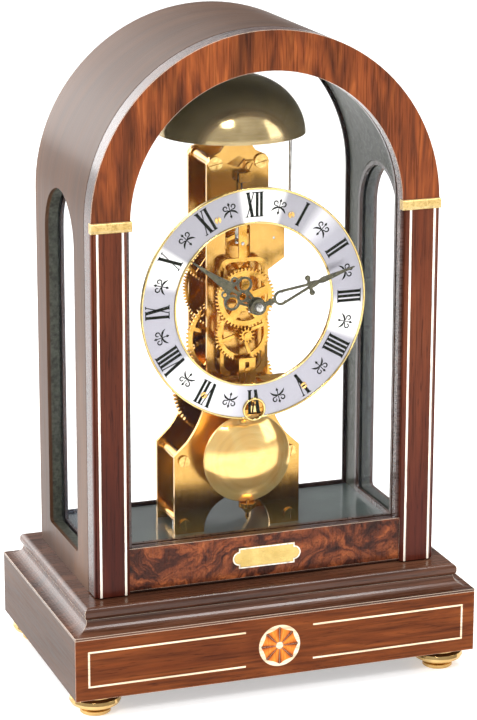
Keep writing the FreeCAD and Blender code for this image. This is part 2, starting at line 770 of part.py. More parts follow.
def dial_trim():
    """Rounded brass rims of the ring and the eyelet for the winding key."""

    def rim(r0, r1, proud):
        mid = (r0 + r1) / 2
        pts = [
            V(r0, DIAL_FRONT + 1.4, 0),
            V(r0, DIAL_FRONT - proud * 0.5, 0),
            V(mid, DIAL_FRONT - proud, 0),
            V(r1, DIAL_FRONT - proud * 0.5, 0),
            V(r1, DIAL_FRONT + 1.4, 0),
        ]
        edges = [
            Part.makeLine(pts[0], pts[1]),
            Part.Arc(pts[1], pts[2], pts[3]).toShape(),
            Part.makeLine(pts[3], pts[4]),
            Part.makeLine(pts[4], pts[0]),
        ]
        return Part.Face(Part.Wire(edges)).revolve(V(0, 0, 0), V(0, 1, 0), 360)

    outer = rim(RING_OUT, RING_OUT + 1.3, 1.0)
    outer.translate(V(CENTRE[0], 0, CENTRE[1]))
    outer = outer.cut(rod_y(BARREL, 7.4, DIAL_FRONT - 3, DIAL_FRONT + 3))
    inner = rim(RING_IN - 1.3, RING_IN, 1.0)
    inner.translate(V(CENTRE[0], 0, CENTRE[1]))
    eyelet = rim(6.0, 7.4, 1.2)
    eyelet.translate(V(BARREL[0], 0, BARREL[1]))
    return [outer, inner, eyelet]


def plate_studs():
    """Riveted studs for the minute wheel and the click."""
    minute = union(
        [
            rod_y(MINUTE, 1.2, -21.4, PLATE_IN),
            rod_y(MINUTE, 1.9, -11.6, FRONT_Y),
            rod_y(MINUTE, 1.9, -22.2, -21.4),
        ]
    )
    click = union([rod_y(CLICK, 1.2, -6.6, PLATE_IN), rod_y(CLICK, 2.3, -7.6, -6.5)])
    return [minute, click]


# ------------------------------------------------------------------ wheels
def tooth_points(at, n, r, phase, pinion):
    m = 2.0 * r / n
    if pinion:
        half = 0.36 * math.pi / n
        rows = [(-1.55, 1.0), (0.0, 1.0), (0.45, 0.78), (0.72, 0.28)]
    else:
        half = 0.47 * math.pi / n
        rows = [(-1.15, 1.1), (0.0, 1.0), (0.6, 0.76), (1.15, 0.28)]
    pts = []
    for k in range(n):
        mid = phase + 2 * math.pi * k / n
        for dm, f in rows:
            pts.append(polar(at, r + dm * m, mid - half * f))
        for dm, f in reversed(rows):
            pts.append(polar(at, r + dm * m, mid + half * f))
    return pts


def wire_of(points, y):
    v = [V(x, y, z) for x, z in points]
    return Part.makePolygon(v + [v[0]])


def circle_wire(at, r, y):
    return Part.Wire([Part.Circle(V(at[0], y, at[1]), V(0, 1, 0), r).toShape()])


def window_wire(at, r0, r1, a0, a1, w, y):
    """A wheel crossing: the opening between two spokes of half width w."""

    def p(r, a):
        q = polar(at, r, a)
        return V(q[0], y, q[1])

    i0 = a0 + math.asin(w / r0)
    i1 = a1 - math.asin(w / r0)
    o0 = a0 + math.asin(w / r1)
    o1 = a1 - math.asin(w / r1)
    edges = [
        Part.makeLine(p(r0, i0), p(r1, o0)),
        Part.Arc(p(r1, o0), p(r1, (o0 + o1) / 2), p(r1, o1)).toShape(),
        Part.makeLine(p(r1, o1), p(r0, i1)),
        Part.Arc(p(r0, i1), p(r0, (i0 + i1) / 2), p(r0, i0)).toShape(),
    ]
    return Part.Wire(edges)


def wheel(at, points, rim_r, hub_r, spokes, w, bore, y0, y1, turn=0.3):
    wires = [wire_of(points, y0)]
    if spokes:
        step = 2 * math.pi / spokes
        for k in range(spokes):
            wires.append(window_wire(at, hub_r, rim_r, turn + k * step, turn + (k + 1) * step, w, y0))
    if bore:
        wires.append(circle_wire(at, bore, y0))
    face = Part.makeFace(wires, "Part::FaceMakerBullseye") if len(wires) > 1 else Part.Face(wires[0])
    return face.extrude(V(0, y1 - y0, 0))


def toward(a, b):
    return math.atan2(b[1] - a[1], b[0] - a[0])


def split(a, b, na, nb):
    """Pitch radii of two gears of na and nb teeth on centres a and b."""
    d = math.hypot(b[0] - a[0], b[1] - a[1])
    return d * na / (na + nb), d * nb / (na + nb)


GREAT_N, SECOND_P = 80, 10
SECOND_N, CENTRE_P = 60, 12
CENTRE_N, THIRD_P = 84, 7
THIRD_N, ESCAPE_P = 70, 7
ESCAPE_N = 36
CANNON_N, MINUTE_N = 16, 48
MINUTE_P, HOUR_N = 12, 48


def arbor(at, r, extra=None):
    """Arbor between the plates with a pivot at each end."""
    parts = [
        rod_y(at, r, PLATE_IN + 0.3, REAR_Y - 0.3),
        rod_y(at, PIVOT_R, FRONT_Y + 0.2, REAR_Y + PLATE_T - 0.2),
    ]
    return parts + (extra or [])


def barrel():
    r, _ = split(BARREL, SECOND, GREAT_N, SECOND_P)
    teeth = tooth_points(BARREL, GREAT_N, r, toward(BARREL, SECOND), False)
    disc = wheel(BARREL, teeth, 0, 0, 0, 0, 4.06, 22.5, 25.0)
    drum = rod_y(BARREL, 21.5, 7.0, 22.5).cut(rod_y(BARREL, 20.3, 8.4, 22.5))
    drum = drum.cut(rod_y(BARREL, 4.06, 5, 30))
    lip = tube_y(BARREL, 22.4, 20.3, 7.6, 8.8)
    return union([disc, drum, lip])


def mainspring():
    """Coiled ribbon inside the barrel."""
    pts_out = []
    pts_in = []
    turns = 6
    n = turns * 24
    for i in range(n + 1):
        a = 2 * math.pi * i / 24
        r = 5.4 + 14.0 * i / n
        pts_out.append(polar(BARREL, r + 0.35, a))
        pts_in.append(polar(BARREL, r - 0.35, a))
    v_out = [V(x, 9.0, z) for x, z in pts_out]
    v_in = [V(x, 9.0, z) for x, z in pts_in]
    c_out = Part.BSplineCurve()
    c_out.interpolate(v_out)
    c_in = Part.BSplineCurve()
    c_in.interpolate(v_in)
    edges = [
        c_out.toShape(),
        Part.makeLine(v_out[-1], v_in[-1]),
        c_in.toShape(),
        Part.makeLine(v_in[0], v_out[0]),
    ]
    return Part.Face(Part.Wire(Part.__sortEdges__(edges))).extrude(V(0, 12.8, 0))


def winding_arbor():
    core = [
        rod_y(BARREL, 4.0, PLATE_IN + 0.3, REAR_Y - 0.3),
        rod_y(BARREL, 3.0, -9.0, REAR_Y + PLATE_T - 0.2),
        box(BARREL[0] - 2.1, BARREL[0] + 2.1, DIAL_FRONT + 0.6, -9.0, BARREL[1] - 2.1, BARREL[1] + 2.1),
    ]
    return union(core)


RATCHET_N = 24


def ratchet_wheel():
    pts = []
    for k in range(RATCHET_N):
        a = math.radians(8.0) + 2 * math.pi * k / RATCHET_N
        pts.append(polar(BARREL, 8.0, a))
        pts.append(polar(BARREL, 9.6, a + 0.02))
        pts.append(polar(BARREL, 8.9, a + 0.13))
    return wheel(BARREL, pts, 0, 0, 0, 0, 3.0, -6.4, -4.4)


def click():
    """Pawl on its stud with a nose standing in one tooth space of the ratchet."""
    nose = polar(BARREL, 8.75, math.radians(20.6))
    inner = polar(BARREL, 10.2, math.radians(22.5))
    outer = polar(BARREL, 11.2, math.radians(18.0))
    arm = [nose, inner, (CLICK[0] - 0.8, CLICK[1] - 1.8), (CLICK[0] + 3.0, CLICK[1] + 0.2), outer]
    body = [tube_y(CLICK, 3.2, 1.25, -6.3, -4.5), polygon_y(arm, -6.3, -4.5)]
    return union(body).cut(rod_y(CLICK, 1.25, -7, -4))


def train_arbor(at, r_arbor, n_wheel, r_wheel, phase_w, w_y, n_pin, r_pin, phase_p, p_y, spokes, rim, extra=None):
    teeth = tooth_points(at, n_wheel, r_wheel, phase_w, False)
    m = 2 * r_wheel / n_wheel
    disc = wheel(at, teeth, r_wheel - 1.3 * m - rim, 5.2, spokes, 1.3, r_arbor, w_y[0], w_y[1])
    leaves = wheel(at, tooth_points(at, n_pin, r_pin, phase_p, True), 0, 0, 0, 0, 0, p_y[0], p_y[1])
    collet = rod_y(at, 3.0, w_y[1], w_y[1] + 1.6)
    return union(arbor(at, r_arbor, extra) + [disc, leaves, collet])


def second_wheel():
    _, rp = split(BARREL, SECOND, GREAT_N, SECOND_P)
    rw, _ = split(SECOND, CENTRE, SECOND_N, CENTRE_P)
    gap = toward(SECOND, BARREL) + math.pi / SECOND_P
    return train_arbor(
        SECOND, 1.6, SECOND_N, rw, toward(SECOND, CENTRE), (3.2, 5.0), SECOND_P, rp, gap, (20.4, 27.4), 5, 2.2
    )


def centre_wheel():
    _, rp = split(SECOND, CENTRE, SECOND_N, CENTRE_P)
    rw, _ = split(CENTRE, THIRD, CENTRE_N, THIRD_P)
    gap = toward(CENTRE, SECOND) + math.pi / CENTRE_P
    ahead = [rod_y(CENTRE, 1.25, -43.5, PLATE_IN + 0.3)]
    return train_arbor(
        CENTRE, 1.8, CENTRE_N, rw, toward(CENTRE, THIRD), (17.0, 18.4), CENTRE_P, rp, gap, (1.6, 6.6), 5, 2.0, ahead
    )


def third_wheel():
    _, rp = split(CENTRE, THIRD, CENTRE_N, THIRD_P)
    rw, _ = split(THIRD, ESCAPE, THIRD_N, ESCAPE_P)
    gap = toward(THIRD, CENTRE) + math.pi / THIRD_P
    return train_arbor(
        THIRD, 1.1, THIRD_N, rw, toward(THIRD, ESCAPE), (8.6, 9.8), THIRD_P, rp, gap, (14.4, 20.6), 5, 1.8
    )


def escape_wheel():
    _, rp = split(THIRD, ESCAPE, THIRD_N, ESCAPE_P)
    gap = toward(ESCAPE, THIRD) + math.pi / ESCAPE_P
    pts = []
    for k in range(ESCAPE_N):
        a = 2 * math.pi * k / ESCAPE_N
        pts.append(polar(ESCAPE, 10.4, a))
        pts.append(polar(ESCAPE, 12.5, a + 0.055))
        pts.append(polar(ESCAPE, 12.5, a + 0.068))
        pts.append(polar(ESCAPE, 10.4, a + 0.085))
    disc = wheel(ESCAPE, pts, 9.0, 3.4, 5, 0.9, 1.1, 15.2, 16.2)
    leaves = wheel(ESCAPE, tooth_points(ESCAPE, ESCAPE_P, rp, gap, True), 0, 0, 0, 0, 0, 6.4, 12.0)
    collet = rod_y(ESCAPE, 2.4, 16.2, 17.4)
    return union(arbor(ESCAPE, 1.1) + [disc, leaves, collet])


def anchor():
    """Pallet arbor with the anchor over the escape wheel and the crutch down to the pendulum."""
    sx, sz = SWING
    y0, y1 = 15.0, 16.4
    arms = []
    for s in (-1, 1):
        pts = [
            (sx + s * 0.5, sz + 2.6),
            (sx + s * 6.5, sz + 0.9),
            (sx + s * 11.6, sz - 4.6),
            (sx + s * 12.6, sz - 11.0),
            (sx + s * 10.9, sz - 9.0),
            (sx + s * 9.4, sz - 5.3),
            (sx + s * 5.4, sz - 1.9),
            (sx + s * 0.5, sz - 2.4),
        ]
        arms.append(polygon_y(pts, y0, y1))
    hub = rod_y(SWING, 3.2, 14.4, 17.4)
    stem = polygon_y([(sx - 1.6, sz), (sx + 1.6, sz), (sx + 1.2, 267.6), (sx - 1.2, 267.6)], -0.4, 0.8)
    stem = stem.cut(rod_y(ESCAPE, 3.9, -1, 2)).fuse(tube_y(ESCAPE, 4.8, 3.2, -0.4, 0.8))
    boss = rod_y(SWING, 2.6, -0.8, 1.6)
    pin = rod_y((sx, 270.0), 1.0, -11.0, 0.8)
    return union(arbor(SWING, 1.2) + arms + [hub, stem, boss, pin])


def suspension_spring():
    """Two brass cheeks joined by the steel ribbon; the upper cheek turns on the cock's pin."""
    sx = SWING[0]
    top = union([box(sx - 1.9, sx + 1.9, -9.4, -6.4, 307.6, 312.0), rod_y(SWING, 1.9, -9.4, -6.4)])
    top = top.cut(rod_y(SWING, 0.85, -10, -6))
    blade = box(sx - 0.15, sx + 0.15, -9.2, -6.6, 300.0, 307.6)
    low = box(sx - 1.9, sx + 1.9, -9.4, -6.4, 294.6, 300.0)
    return union([top, blade, low]).cut(rod_y((sx, 297.2), 0.9, -10, -6))


def pendulum_leader():
    """Flat hanger that passes round the dial work and steps forward to the hook for the rod."""
    sx = SWING[0]
    y0, y1 = -10.6, -9.4
    strip = box(sx - 2.6, sx + 2.6, y0, y1, 258.0, 300.0)
    outer = box(sx - 14.6, sx + 14.6, y0, y1, 186.4, 261.0)
    inner = rounded_window(sx - 12.4, sx + 12.4, 189.0, 258.6, 6.0)
    hook = box(sx - 5.4, sx + 5.4, -19.4, -18.4, 184.6, 199.4)
    hook = hook.cut(box(sx - 1.3, sx + 1.3, -21, -17, 190.5, 197.0))
    arm = box(sx - 3.2, sx + 3.2, -18.4, y0, 186.4, 188.0)
    peg = rod_y((sx, 297.2), 0.9, y0, -6.0)
    body = union([strip, outer.cut(inner), hook, arm, peg])
    corners = [e for e in body.Edges if abs(e.Length - (y1 - y0)) < 0.01 and abs(abs(e.CenterOfMass.x - sx) - 14.6) < 0.1]
    if corners:
        body = body.makeFillet(5.0, corners)
    return body.cut(rod_y((sx, 270.0), 1.05, -12, -8))


def pendulum_rod():
    """Rod with an oval that clears the winding arbor, a hook above and the threaded end below."""
    sx = SWING[0]
    y0, y1 = -20.4, -19.4
    top = union([box(sx - 1.7, sx + 1.7, y0, y1, 181.0, 192.0), rod_y((sx, 192.0), 1.7, y0, y1)])
    hook = box(sx - 1.1, sx + 1.1, y1, -17.6, 190.5, 192.8)
    catch = box(sx - 1.1, sx + 1.1, -17.6, -16.9, 188.8, 192.8)
    outer = rounded_window(sx - 15.4, sx + 15.4, 164.9, 184.0, 8.0)
    inner = rounded_window(sx - 13.4, sx + 13.4, 166.6, 182.2, 6.8)
    oval = outer.cut(inner).common(box(-40, 40, y0, y1, 150, 200))
    low = box(sx - 1.5, sx + 1.5, y0, y1, 111.6, 165.6)
    screw = rod_z(sx, -19.9, 1.2, 96.5, 113.0)
    tip = Part.makeCone(0.4, 1.2, 1.8, V(sx, -19.9, 94.7), V(0, 0, 1))
    return union([top, hook, catch, oval, low, screw, tip])


def bob():
    """Brass lens with a rolled edge, slotted for the rod."""
    sx = SWING[0]
    big = (BOB_R**2 + BOB_HALF**2) / (2 * BOB_HALF)
    edge = 1.1
    n = 12
    pts = []
    for i in range(n + 1):
        r = BOB_R * i / n
        pts.append((r, math.sqrt(big**2 - r**2) - big + BOB_HALF + edge))
    front = [V(r, -h, 0) for r, h in pts]
    back = [V(r, h, 0) for r, h in pts]
    s1 = Part.BSplineCurve()
    s1.interpolate(front)
    s2 = Part.BSplineCurve()
    s2.interpolate(back)
    rim = Part.Arc(front[-1], V(BOB_R + 0.55, 0, 0), back[-1]).toShape()
    edges = [s1.toShape(), rim, s2.toShape(), Part.makeLine(back[0], front[0])]
    face = Part.Face(Part.Wire(Part.__sortEdges__(edges)))
    lens = face.revolve(V(0, 0, 0), V(0, 1, 0), 360)
    lens.translate(V(sx, BOB_Y, BOB_Z))
    lens = lens.cut(box(sx - 1.56, sx + 1.56, -20.46, -19.34, 109.6, 170))
    return lens.cut(rod_z(sx, -19.9, 1.26, 100, 114.8))


def rating_nut():
    sx = SWING[0]
    pts = [(5.2 + (0.22 if k % 2 else -0.1)) for k in range(48)]
    ring = []
    for k, r in enumerate(pts):
        a = 2 * math.pi * k / 48
        ring.append((sx + r * math.cos(a), -19.9 + r * math.sin(a)))
    disc = polygon_z(ring, 103.2, 106.3)
    cone = Part.makeCone(1.9, 4.4, 3.4, V(sx, -19.9, 99.8), V(0, 0, 1))
    return union([disc, cone]).cut(rod_z(sx, -19.9, 1.25, 98, 108))


# ------------------------------------------------------------------ motion work and hands
def cannon_pinion():
    r, _ = split(CENTRE, MINUTE, CANNON_N, MINUTE_N)
    teeth = tooth_points(CENTRE, CANNON_N, r, toward(CENTRE, MINUTE) + math.pi / CANNON_N, True)
    disc = wheel(CENTRE, teeth, 0, 0, 0, 0, 1.25, -15.0, -12.2)
    pipe = tube_y(CENTRE, 2.3, 1.25, -41.4, -15.0)
    return union([disc, pipe])


def minute_wheel():
    _, r = split(CENTRE, MINUTE, CANNON_N, MINUTE_N)
    rp, _ = split(MINUTE, CENTRE, MINUTE_P, HOUR_N)
    teeth = tooth_points(MINUTE, MINUTE_N, r, toward(MINUTE, CENTRE), False)
    disc = wheel(MINUTE, teeth, r - 3.4, 4.6, 4, 1.0, 1.24, -14.2, -12.8)
    leaves = wheel(
        MINUTE, tooth_points(MINUTE, MINUTE_P, rp, toward(MINUTE, CENTRE) + math.pi / MINUTE_P, True),
        0, 0, 0, 0, 1.24, -21.2, -14.2,
    )
    back = tube_y(MINUTE, 2.2, 1.24, -12.8, -11.7)
    return union([disc, leaves, back])


def hour_wheel():
    rp, r = split(MINUTE, CENTRE, MINUTE_P, HOUR_N)
    teeth = tooth_points(CENTRE, HOUR_N, r, toward(CENTRE, MINUTE), False)
    disc = wheel(CENTRE, teeth, r - 4.0, 6.4, 5, 2.6, 2.35, -18.6, -17.2)
    pipe = tube_y(CENTRE, 3.4, 2.35, -39.6, -17.2)
    collar = tube_y(CENTRE, 4.6, 2.35, -20.4, -18.6)
    return union([disc, pipe, collar])


def hand_frame(shape, degrees):
    """Turn a hand drawn pointing up to its place, clockwise as seen from the front."""
    shape.rotate(V(CENTRE[0], 0, CENTRE[1]), V(0, 1, 0), degrees)
    return shape


def ring_at(t, side, r, w, y0, y1):
    at = (CENTRE[0] + side, CENTRE[1] + t)
    return tube_y(at, r, r - w, y0, y1)


def bar(t0, s0, t1, s1, w, y0, y1):
    """A straight bar between two points given along and across the hand."""
    dx = s1 - s0
    dz = t1 - t0
    d = math.hypot(dx, dz)
    nx = -dz / d * w / 2
    nz = dx / d * w / 2
    a = (CENTRE[0] + s0, CENTRE[1] + t0)
    b = (CENTRE[0] + s1, CENTRE[1] + t1)
    pts = [(a[0] + nx, a[1] + nz), (b[0] + nx, b[1] + nz), (b[0] - nx, b[1] - nz), (a[0] - nx, a[1] - nz)]
    return polygon_y(pts, y0, y1)


def blade(points, y0, y1):
    right = [(CENTRE[0] + s, CENTRE[1] + t) for t, s in points]
    left = [(CENTRE[0] - s, CENTRE[1] + t) for t, s in reversed(points)]
    return polygon_y(right + left, y0, y1)


HOUR_TURN = 306.5
MINUTE_TURN = 71.8


def hour_hand():
    y0, y1 = -38.8, -37.6
    parts = [
        tube_y(CENTRE, 5.4, 3.4, -39.4, -37.2),
        bar(4.6, 0, 8.0, 0, 3.2, y0, y1),
        ring_at(11.0, 0.0, 3.6, 1.3, y0, y1),
        bar(14.2, 0, 19.4, 0, 2.2, y0, y1),
        blade([(18.8, 1.0), (21.6, 3.5), (25.0, 2.9), (36.0, 1.5), (50.5, 0.35)], y0, y1),
    ]
    for s in (-1, 1):
        parts.append(ring_at(14.6, s * 6.6, 4.9, 1.3, y0, y1))
        parts.append(bar(4.2, s * 2.6, 10.6, s * 4.4, 1.5, y0, y1))
        parts.append(ring_at(21.4, s * 5.2, 2.3, 1.0, y0, y1))
        parts.append(bar(20.2, s * 0.6, 19.6, s * 4.4, 1.3, y0, y1))
    return hand_frame(union(parts), HOUR_TURN)


def minute_hand():
    y0, y1 = -42.2, -41.2
    parts = [
        tube_y(CENTRE, 4.9, 2.3, -42.6, -40.8),
        bar(4.2, 0, 11.4, 0, 2.6, y0, y1),
        bar(8.2, -2.2, 8.2, 2.2, 1.6, y0, y1),
        bar(35.0, -4.6, 35.0, 4.6, 2.0, y0, y1),
        blade([(33.6, 2.2), (38.0, 2.0), (41.0, 1.1), (44.0, 1.9), (52.0, 1.3), (65.5, 0.3)], y0, y1),
    ]
    loop = tube_y((CENTRE[0], CENTRE[1] + 15.2), 4.7, 3.2, y0, y1)
    open_top = box(-3.4, 3.4, y0 - 1, y1 + 1, CENTRE[1] + 17.4, CENTRE[1] + 21)
    parts.append(loop.cut(open_top))
    for s in (-1, 1):
        parts.append(bar(16.6, s * 3.8, 34.6, s * 0.9, 1.5, y0, y1))
        parts.append(rod_y((CENTRE[0] + s * 4.9, CENTRE[1] + 35.0), 1.7, y0, y1))
    return hand_frame(union(parts), MINUTE_TURN)


def hand_nut():
    pts = [V(1.25, -43.6, 0), V(1.25, -42.6, 0), V(3.1, -42.6, 0), V(3.1, -43.5, 0), V(2.3, -44.6, 0), V(0, -45.2, 0)]
    pts += [V(0, -43.6, 0)]
    nut = Part.Face(Part.makePolygon(pts + [pts[0]])).revolve(V(0, 0, 0), V(0, 1, 0), 360)
    nut.translate(V(CENTRE[0], 0, CENTRE[1]))
    return nut


def hammer():
    """Hammer arbor with the bent wire that reaches up inside the bell."""
    y = 13.0
    path = [(23.7, 270.5), (40.5, 284.5), (40.5, 331.0), (33.6, 335.8), (33.6, 347.0)]
    parts = arbor(HAMMER, 1.6) + [rod_y(HAMMER, 3.4, 10.6, 15.4)]
    for a, b in zip(path, path[1:]):
        d = math.hypot(b[0] - a[0], b[1] - a[1])
        parts.append(Part.makeCylinder(1.0, d, V(a[0], y, a[1]), V(b[0] - a[0], 0, b[1] - a[1])))
        parts.append(Part.makeSphere(1.0, V(b[0], y, b[1])))
    parts.append(rod_x(y, 347.0, 3.2, 29.4, 37.4))
    tail = polygon_y([(HAMMER[0] - 1.6, HAMMER[1]), (HAMMER[0] + 1.6, HAMMER[1]), (31.0, 256.0), (28.6, 255.2)], 22.0, 23.2)
    parts.append(tail)
    parts.append(rod_y(HAMMER, 3.0, 21.4, 23.8))
    return union(parts)


os.makedirs("parts", exist_ok=True)

out("bun_feet", feet())
out("plinth_carcass", plinth_carcass())
strings = [string_frame(-1), string_frame(1)]
front_y = -PLINTH_D / 2
medal = (0.0, ROSETTE_Z)
cream = strings + [rosette_ground(), rod_y(medal, 2.2, front_y, front_y + INLAY_DEPTH)]
petals = [petal(k) for k in range(8)]
skin = box(-PLINTH_W / 2, PLINTH_W / 2, front_y, front_y + VENEER, FOOT_H, PLINTH_TOP)
for piece in cream + petals:
    skin = skin.cut(piece)
out("plinth_veneer", skin)
out("cream_inlay", cream)
out("rosette_petals", petals)
out("cove_moulding", cove())
out("case_slab", slab())
out("tunnel_shell", tunnel())
out("interior_floor", interior_floor())
out("case_glasses", case_glasses())
out("case_beads", case_beads())
out("ball_catch", ball_catch())
out("hinge_case_leaves", [hinge_leaf(z, 1) for z in HINGE_Z])
out("hinge_case_screws", [hinge_screw(z, 1) for z in hinge_screw_heights()])

out("door_frame", door_frame())
out("door_veneer", door_veneer())
out("pilasters", pair(pilaster()))
out("pilaster_stringing", pair(pilaster_strings()[0]) + pair(pilaster_strings()[1]))
out("capitals", pair(capital()))
out("nameplate", nameplate())
out("door_glass", door_glass())
out("door_bead", door_bead())
out("hinge_door_leaves", [hinge_leaf(z, -1) for z in HINGE_Z])
out("hinge_door_screws", [hinge_screw(z, -1) for z in hinge_screw_heights()])

out("front_plate", front_plate())
out("rear_plate", rear_plate())
out("plate_pillars", plate_pillars())
out("plate_screws", plate_screws())
out("seat_screws", seat_screws())
out("bell_stand", bell_stand())
out("bell", bell())
out("bell_nut", bell_nut())
out("suspension_cock", suspension_cock())
out("dial_bridges", dial_bridges())
out("dial_screws", dial_screws())
out("chapter_ring", chapter_ring())
out("dial_trim", dial_trim())
out("plate_studs", plate_studs())

out("barrel", barrel())
out("mainspring", mainspring())
out("winding_arbor", winding_arbor())
out("ratchet_wheel", ratchet_wheel())
out("click", click())
out("second_wheel", second_wheel())
out("centre_wheel", centre_wheel())
out("third_wheel", third_wheel())
out("escape_wheel", escape_wheel())
out("anchor", anchor())
out("suspension_spring", suspension_spring())
out("pendulum_leader", pendulum_leader())
out("pendulum_rod", pendulum_rod())
out("bob", bob())
out("rating_nut", rating_nut())
out("cannon_pinion", cannon_pinion())
out("minute_wheel", minute_wheel())
out("hour_wheel", hour_wheel())
out("hour_hand", hour_hand())
out("minute_hand", minute_hand())
out("hand_nut", hand_nut())
out("hammer", hammer())
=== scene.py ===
"""Looks of the skeleton mantel clock: materials for the CAD parts, the dial's printing, light and camera."""

import math

import bpy
from mathutils import Matrix, Vector


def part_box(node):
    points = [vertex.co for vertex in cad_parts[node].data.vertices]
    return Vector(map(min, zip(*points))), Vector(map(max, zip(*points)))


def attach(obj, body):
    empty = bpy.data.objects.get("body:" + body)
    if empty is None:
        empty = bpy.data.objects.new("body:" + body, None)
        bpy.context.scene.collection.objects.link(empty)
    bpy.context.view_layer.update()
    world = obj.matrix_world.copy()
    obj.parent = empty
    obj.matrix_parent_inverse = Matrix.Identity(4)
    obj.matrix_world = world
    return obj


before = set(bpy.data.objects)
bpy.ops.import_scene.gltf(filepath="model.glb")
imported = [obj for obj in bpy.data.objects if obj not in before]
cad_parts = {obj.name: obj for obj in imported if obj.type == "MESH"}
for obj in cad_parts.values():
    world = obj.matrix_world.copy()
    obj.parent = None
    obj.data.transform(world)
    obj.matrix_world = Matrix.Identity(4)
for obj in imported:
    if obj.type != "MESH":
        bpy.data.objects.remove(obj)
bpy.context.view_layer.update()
MM = 0.001


def middle(node, axis):
    low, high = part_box(node)
    return (low[axis] + high[axis]) / 2


# ---------------------------------------------------------------- materials
# Strength of the painted edge highlight.
EDGE_HIGHLIGHT_SHARE = 0.8


class Look:
    """One material. add() makes a node and returns one of its outputs."""

    def __init__(self, name, **fixed):
        self.material = bpy.data.materials.new(name)
        self.material.use_nodes = True
        self.tree = self.material.node_tree
        self.shader = self.tree.nodes["Principled BSDF"]
        for key, value in fixed.items():
            self.shader.inputs[key.replace("_", " ")].default_value = value

    def add(self, kind, inputs, out=0, **settings):
        node = self.tree.nodes.new("ShaderNode" + kind)
        for key, value in settings.items():
            setattr(node, key, value)
        for key, value in inputs.items():
            if isinstance(value, bpy.types.NodeSocket):
                self.tree.links.new(value, node.inputs[key])
            else:
                node.inputs[key].default_value = value
        return node.outputs[out]

    def place(self):
        return self.add("TexCoord", {}, "Object")

    def math(self, operation, a, b=0.0):
        return self.add("Math", {0: a, 1: b}, operation=operation)

    def noise(self, scale, stretch=(1, 1, 1), detail=4.0, distortion=0.0, at=None):
        at = at or self.place()
        at = self.add("Mapping", {"Vector": at, "Scale": stretch})
        inputs = {"Vector": at, "Scale": scale, "Detail": detail, "Distortion": distortion}
        return self.add("TexNoise", inputs)

    def ramp(self, value, stops):
        node = self.tree.nodes.new("ShaderNodeValToRGB")
        elements = node.color_ramp.elements
        while len(elements) < len(stops):
            elements.new(1.0)
        for element, (at, colour) in zip(elements, stops):
            element.position = at
            element.color = (*colour, 1)
        self.tree.links.new(value, node.inputs[0])
        return node.outputs[0]

    def blend(self, amount, a, b, kind="MIX"):
        inputs = {"Fac": amount, "Color1": a, "Color2": b}
        inputs = {k: (*v, 1) if isinstance(v, tuple) else v for k, v in inputs.items()}
        return self.add("MixRGB", inputs, blend_type=kind)

    def span(self, value, low, high, start=0.0, end=1.0):
        inputs = {"Value": value, "From Min": start, "From Max": end, "To Min": low, "To Max": high}
        return self.add("MapRange", inputs)

    def xyz(self, at=None):
        at = at or self.place()
        return [self.add("SeparateXYZ", {0: at}, i) for i in range(3)]

    def finish(self, colour, rough, heights, edge=0.0, edge_highlight=None):
        """Links colour, roughness and the bumps, which are (height, depth) with the depth in metres.
        Edges are rounded by edge metres. An edge_highlight colour is painted highlight along the arrises,
        blended in where the rounded normal turns away from the face."""
        links = self.tree.links
        # Painted highlight: a pale edge_highlight colour along the arrises.
        if edge_highlight:
            soft = self.add("Bevel", {"Radius": edge}, samples=8)
            flat = self.add("NewGeometry", {}, "Normal")
            match = self.add("VectorMath", {0: soft, 1: flat}, "Value", operation="DOT_PRODUCT")
            colour = self.blend(self.span(match, EDGE_HIGHLIGHT_SHARE, 0.0, 0.86, 0.985), colour, edge_highlight)
        links.new(colour, self.shader.inputs["Base Color"])
        links.new(rough, self.shader.inputs["Roughness"])
        normal = None
        if edge:
            normal = self.add("Bevel", {"Radius": edge}, samples=6)
        for height, depth in heights:
            inputs = {"Height": height, "Distance": depth, "Strength": 1.0}
            if normal:
                inputs["Normal"] = normal
            normal = self.add("Bump", inputs)
        if normal:
            links.new(normal, self.shader.inputs["Normal"])
        return self.material


def srgb(r, g, b):
    """A colour named by its 0 to 255 screen values."""
    return tuple(((c / 255 + 0.055) / 1.055) ** 2.4 if c > 10 else c / 255 / 12.92 for c in (r, g, b))


def several(*colours):
    """A list of colours, each named by its 0 to 255 screen values."""
    return [srgb(*colour) for colour in colours]


# Heights in metres over which the painted foot shade fades out.
FOOT_SHADE_SPAN = (0.1, 0.26)
ALONG = {"x": (0.05, 1, 1), "y": (1, 0.05, 1), "z": (1, 1, 0.05), "round": (0.05, 1, 1)}


def grain_stretch(axis, share):
    return tuple(share if v < 1 else 1.0 for v in ALONG[axis])


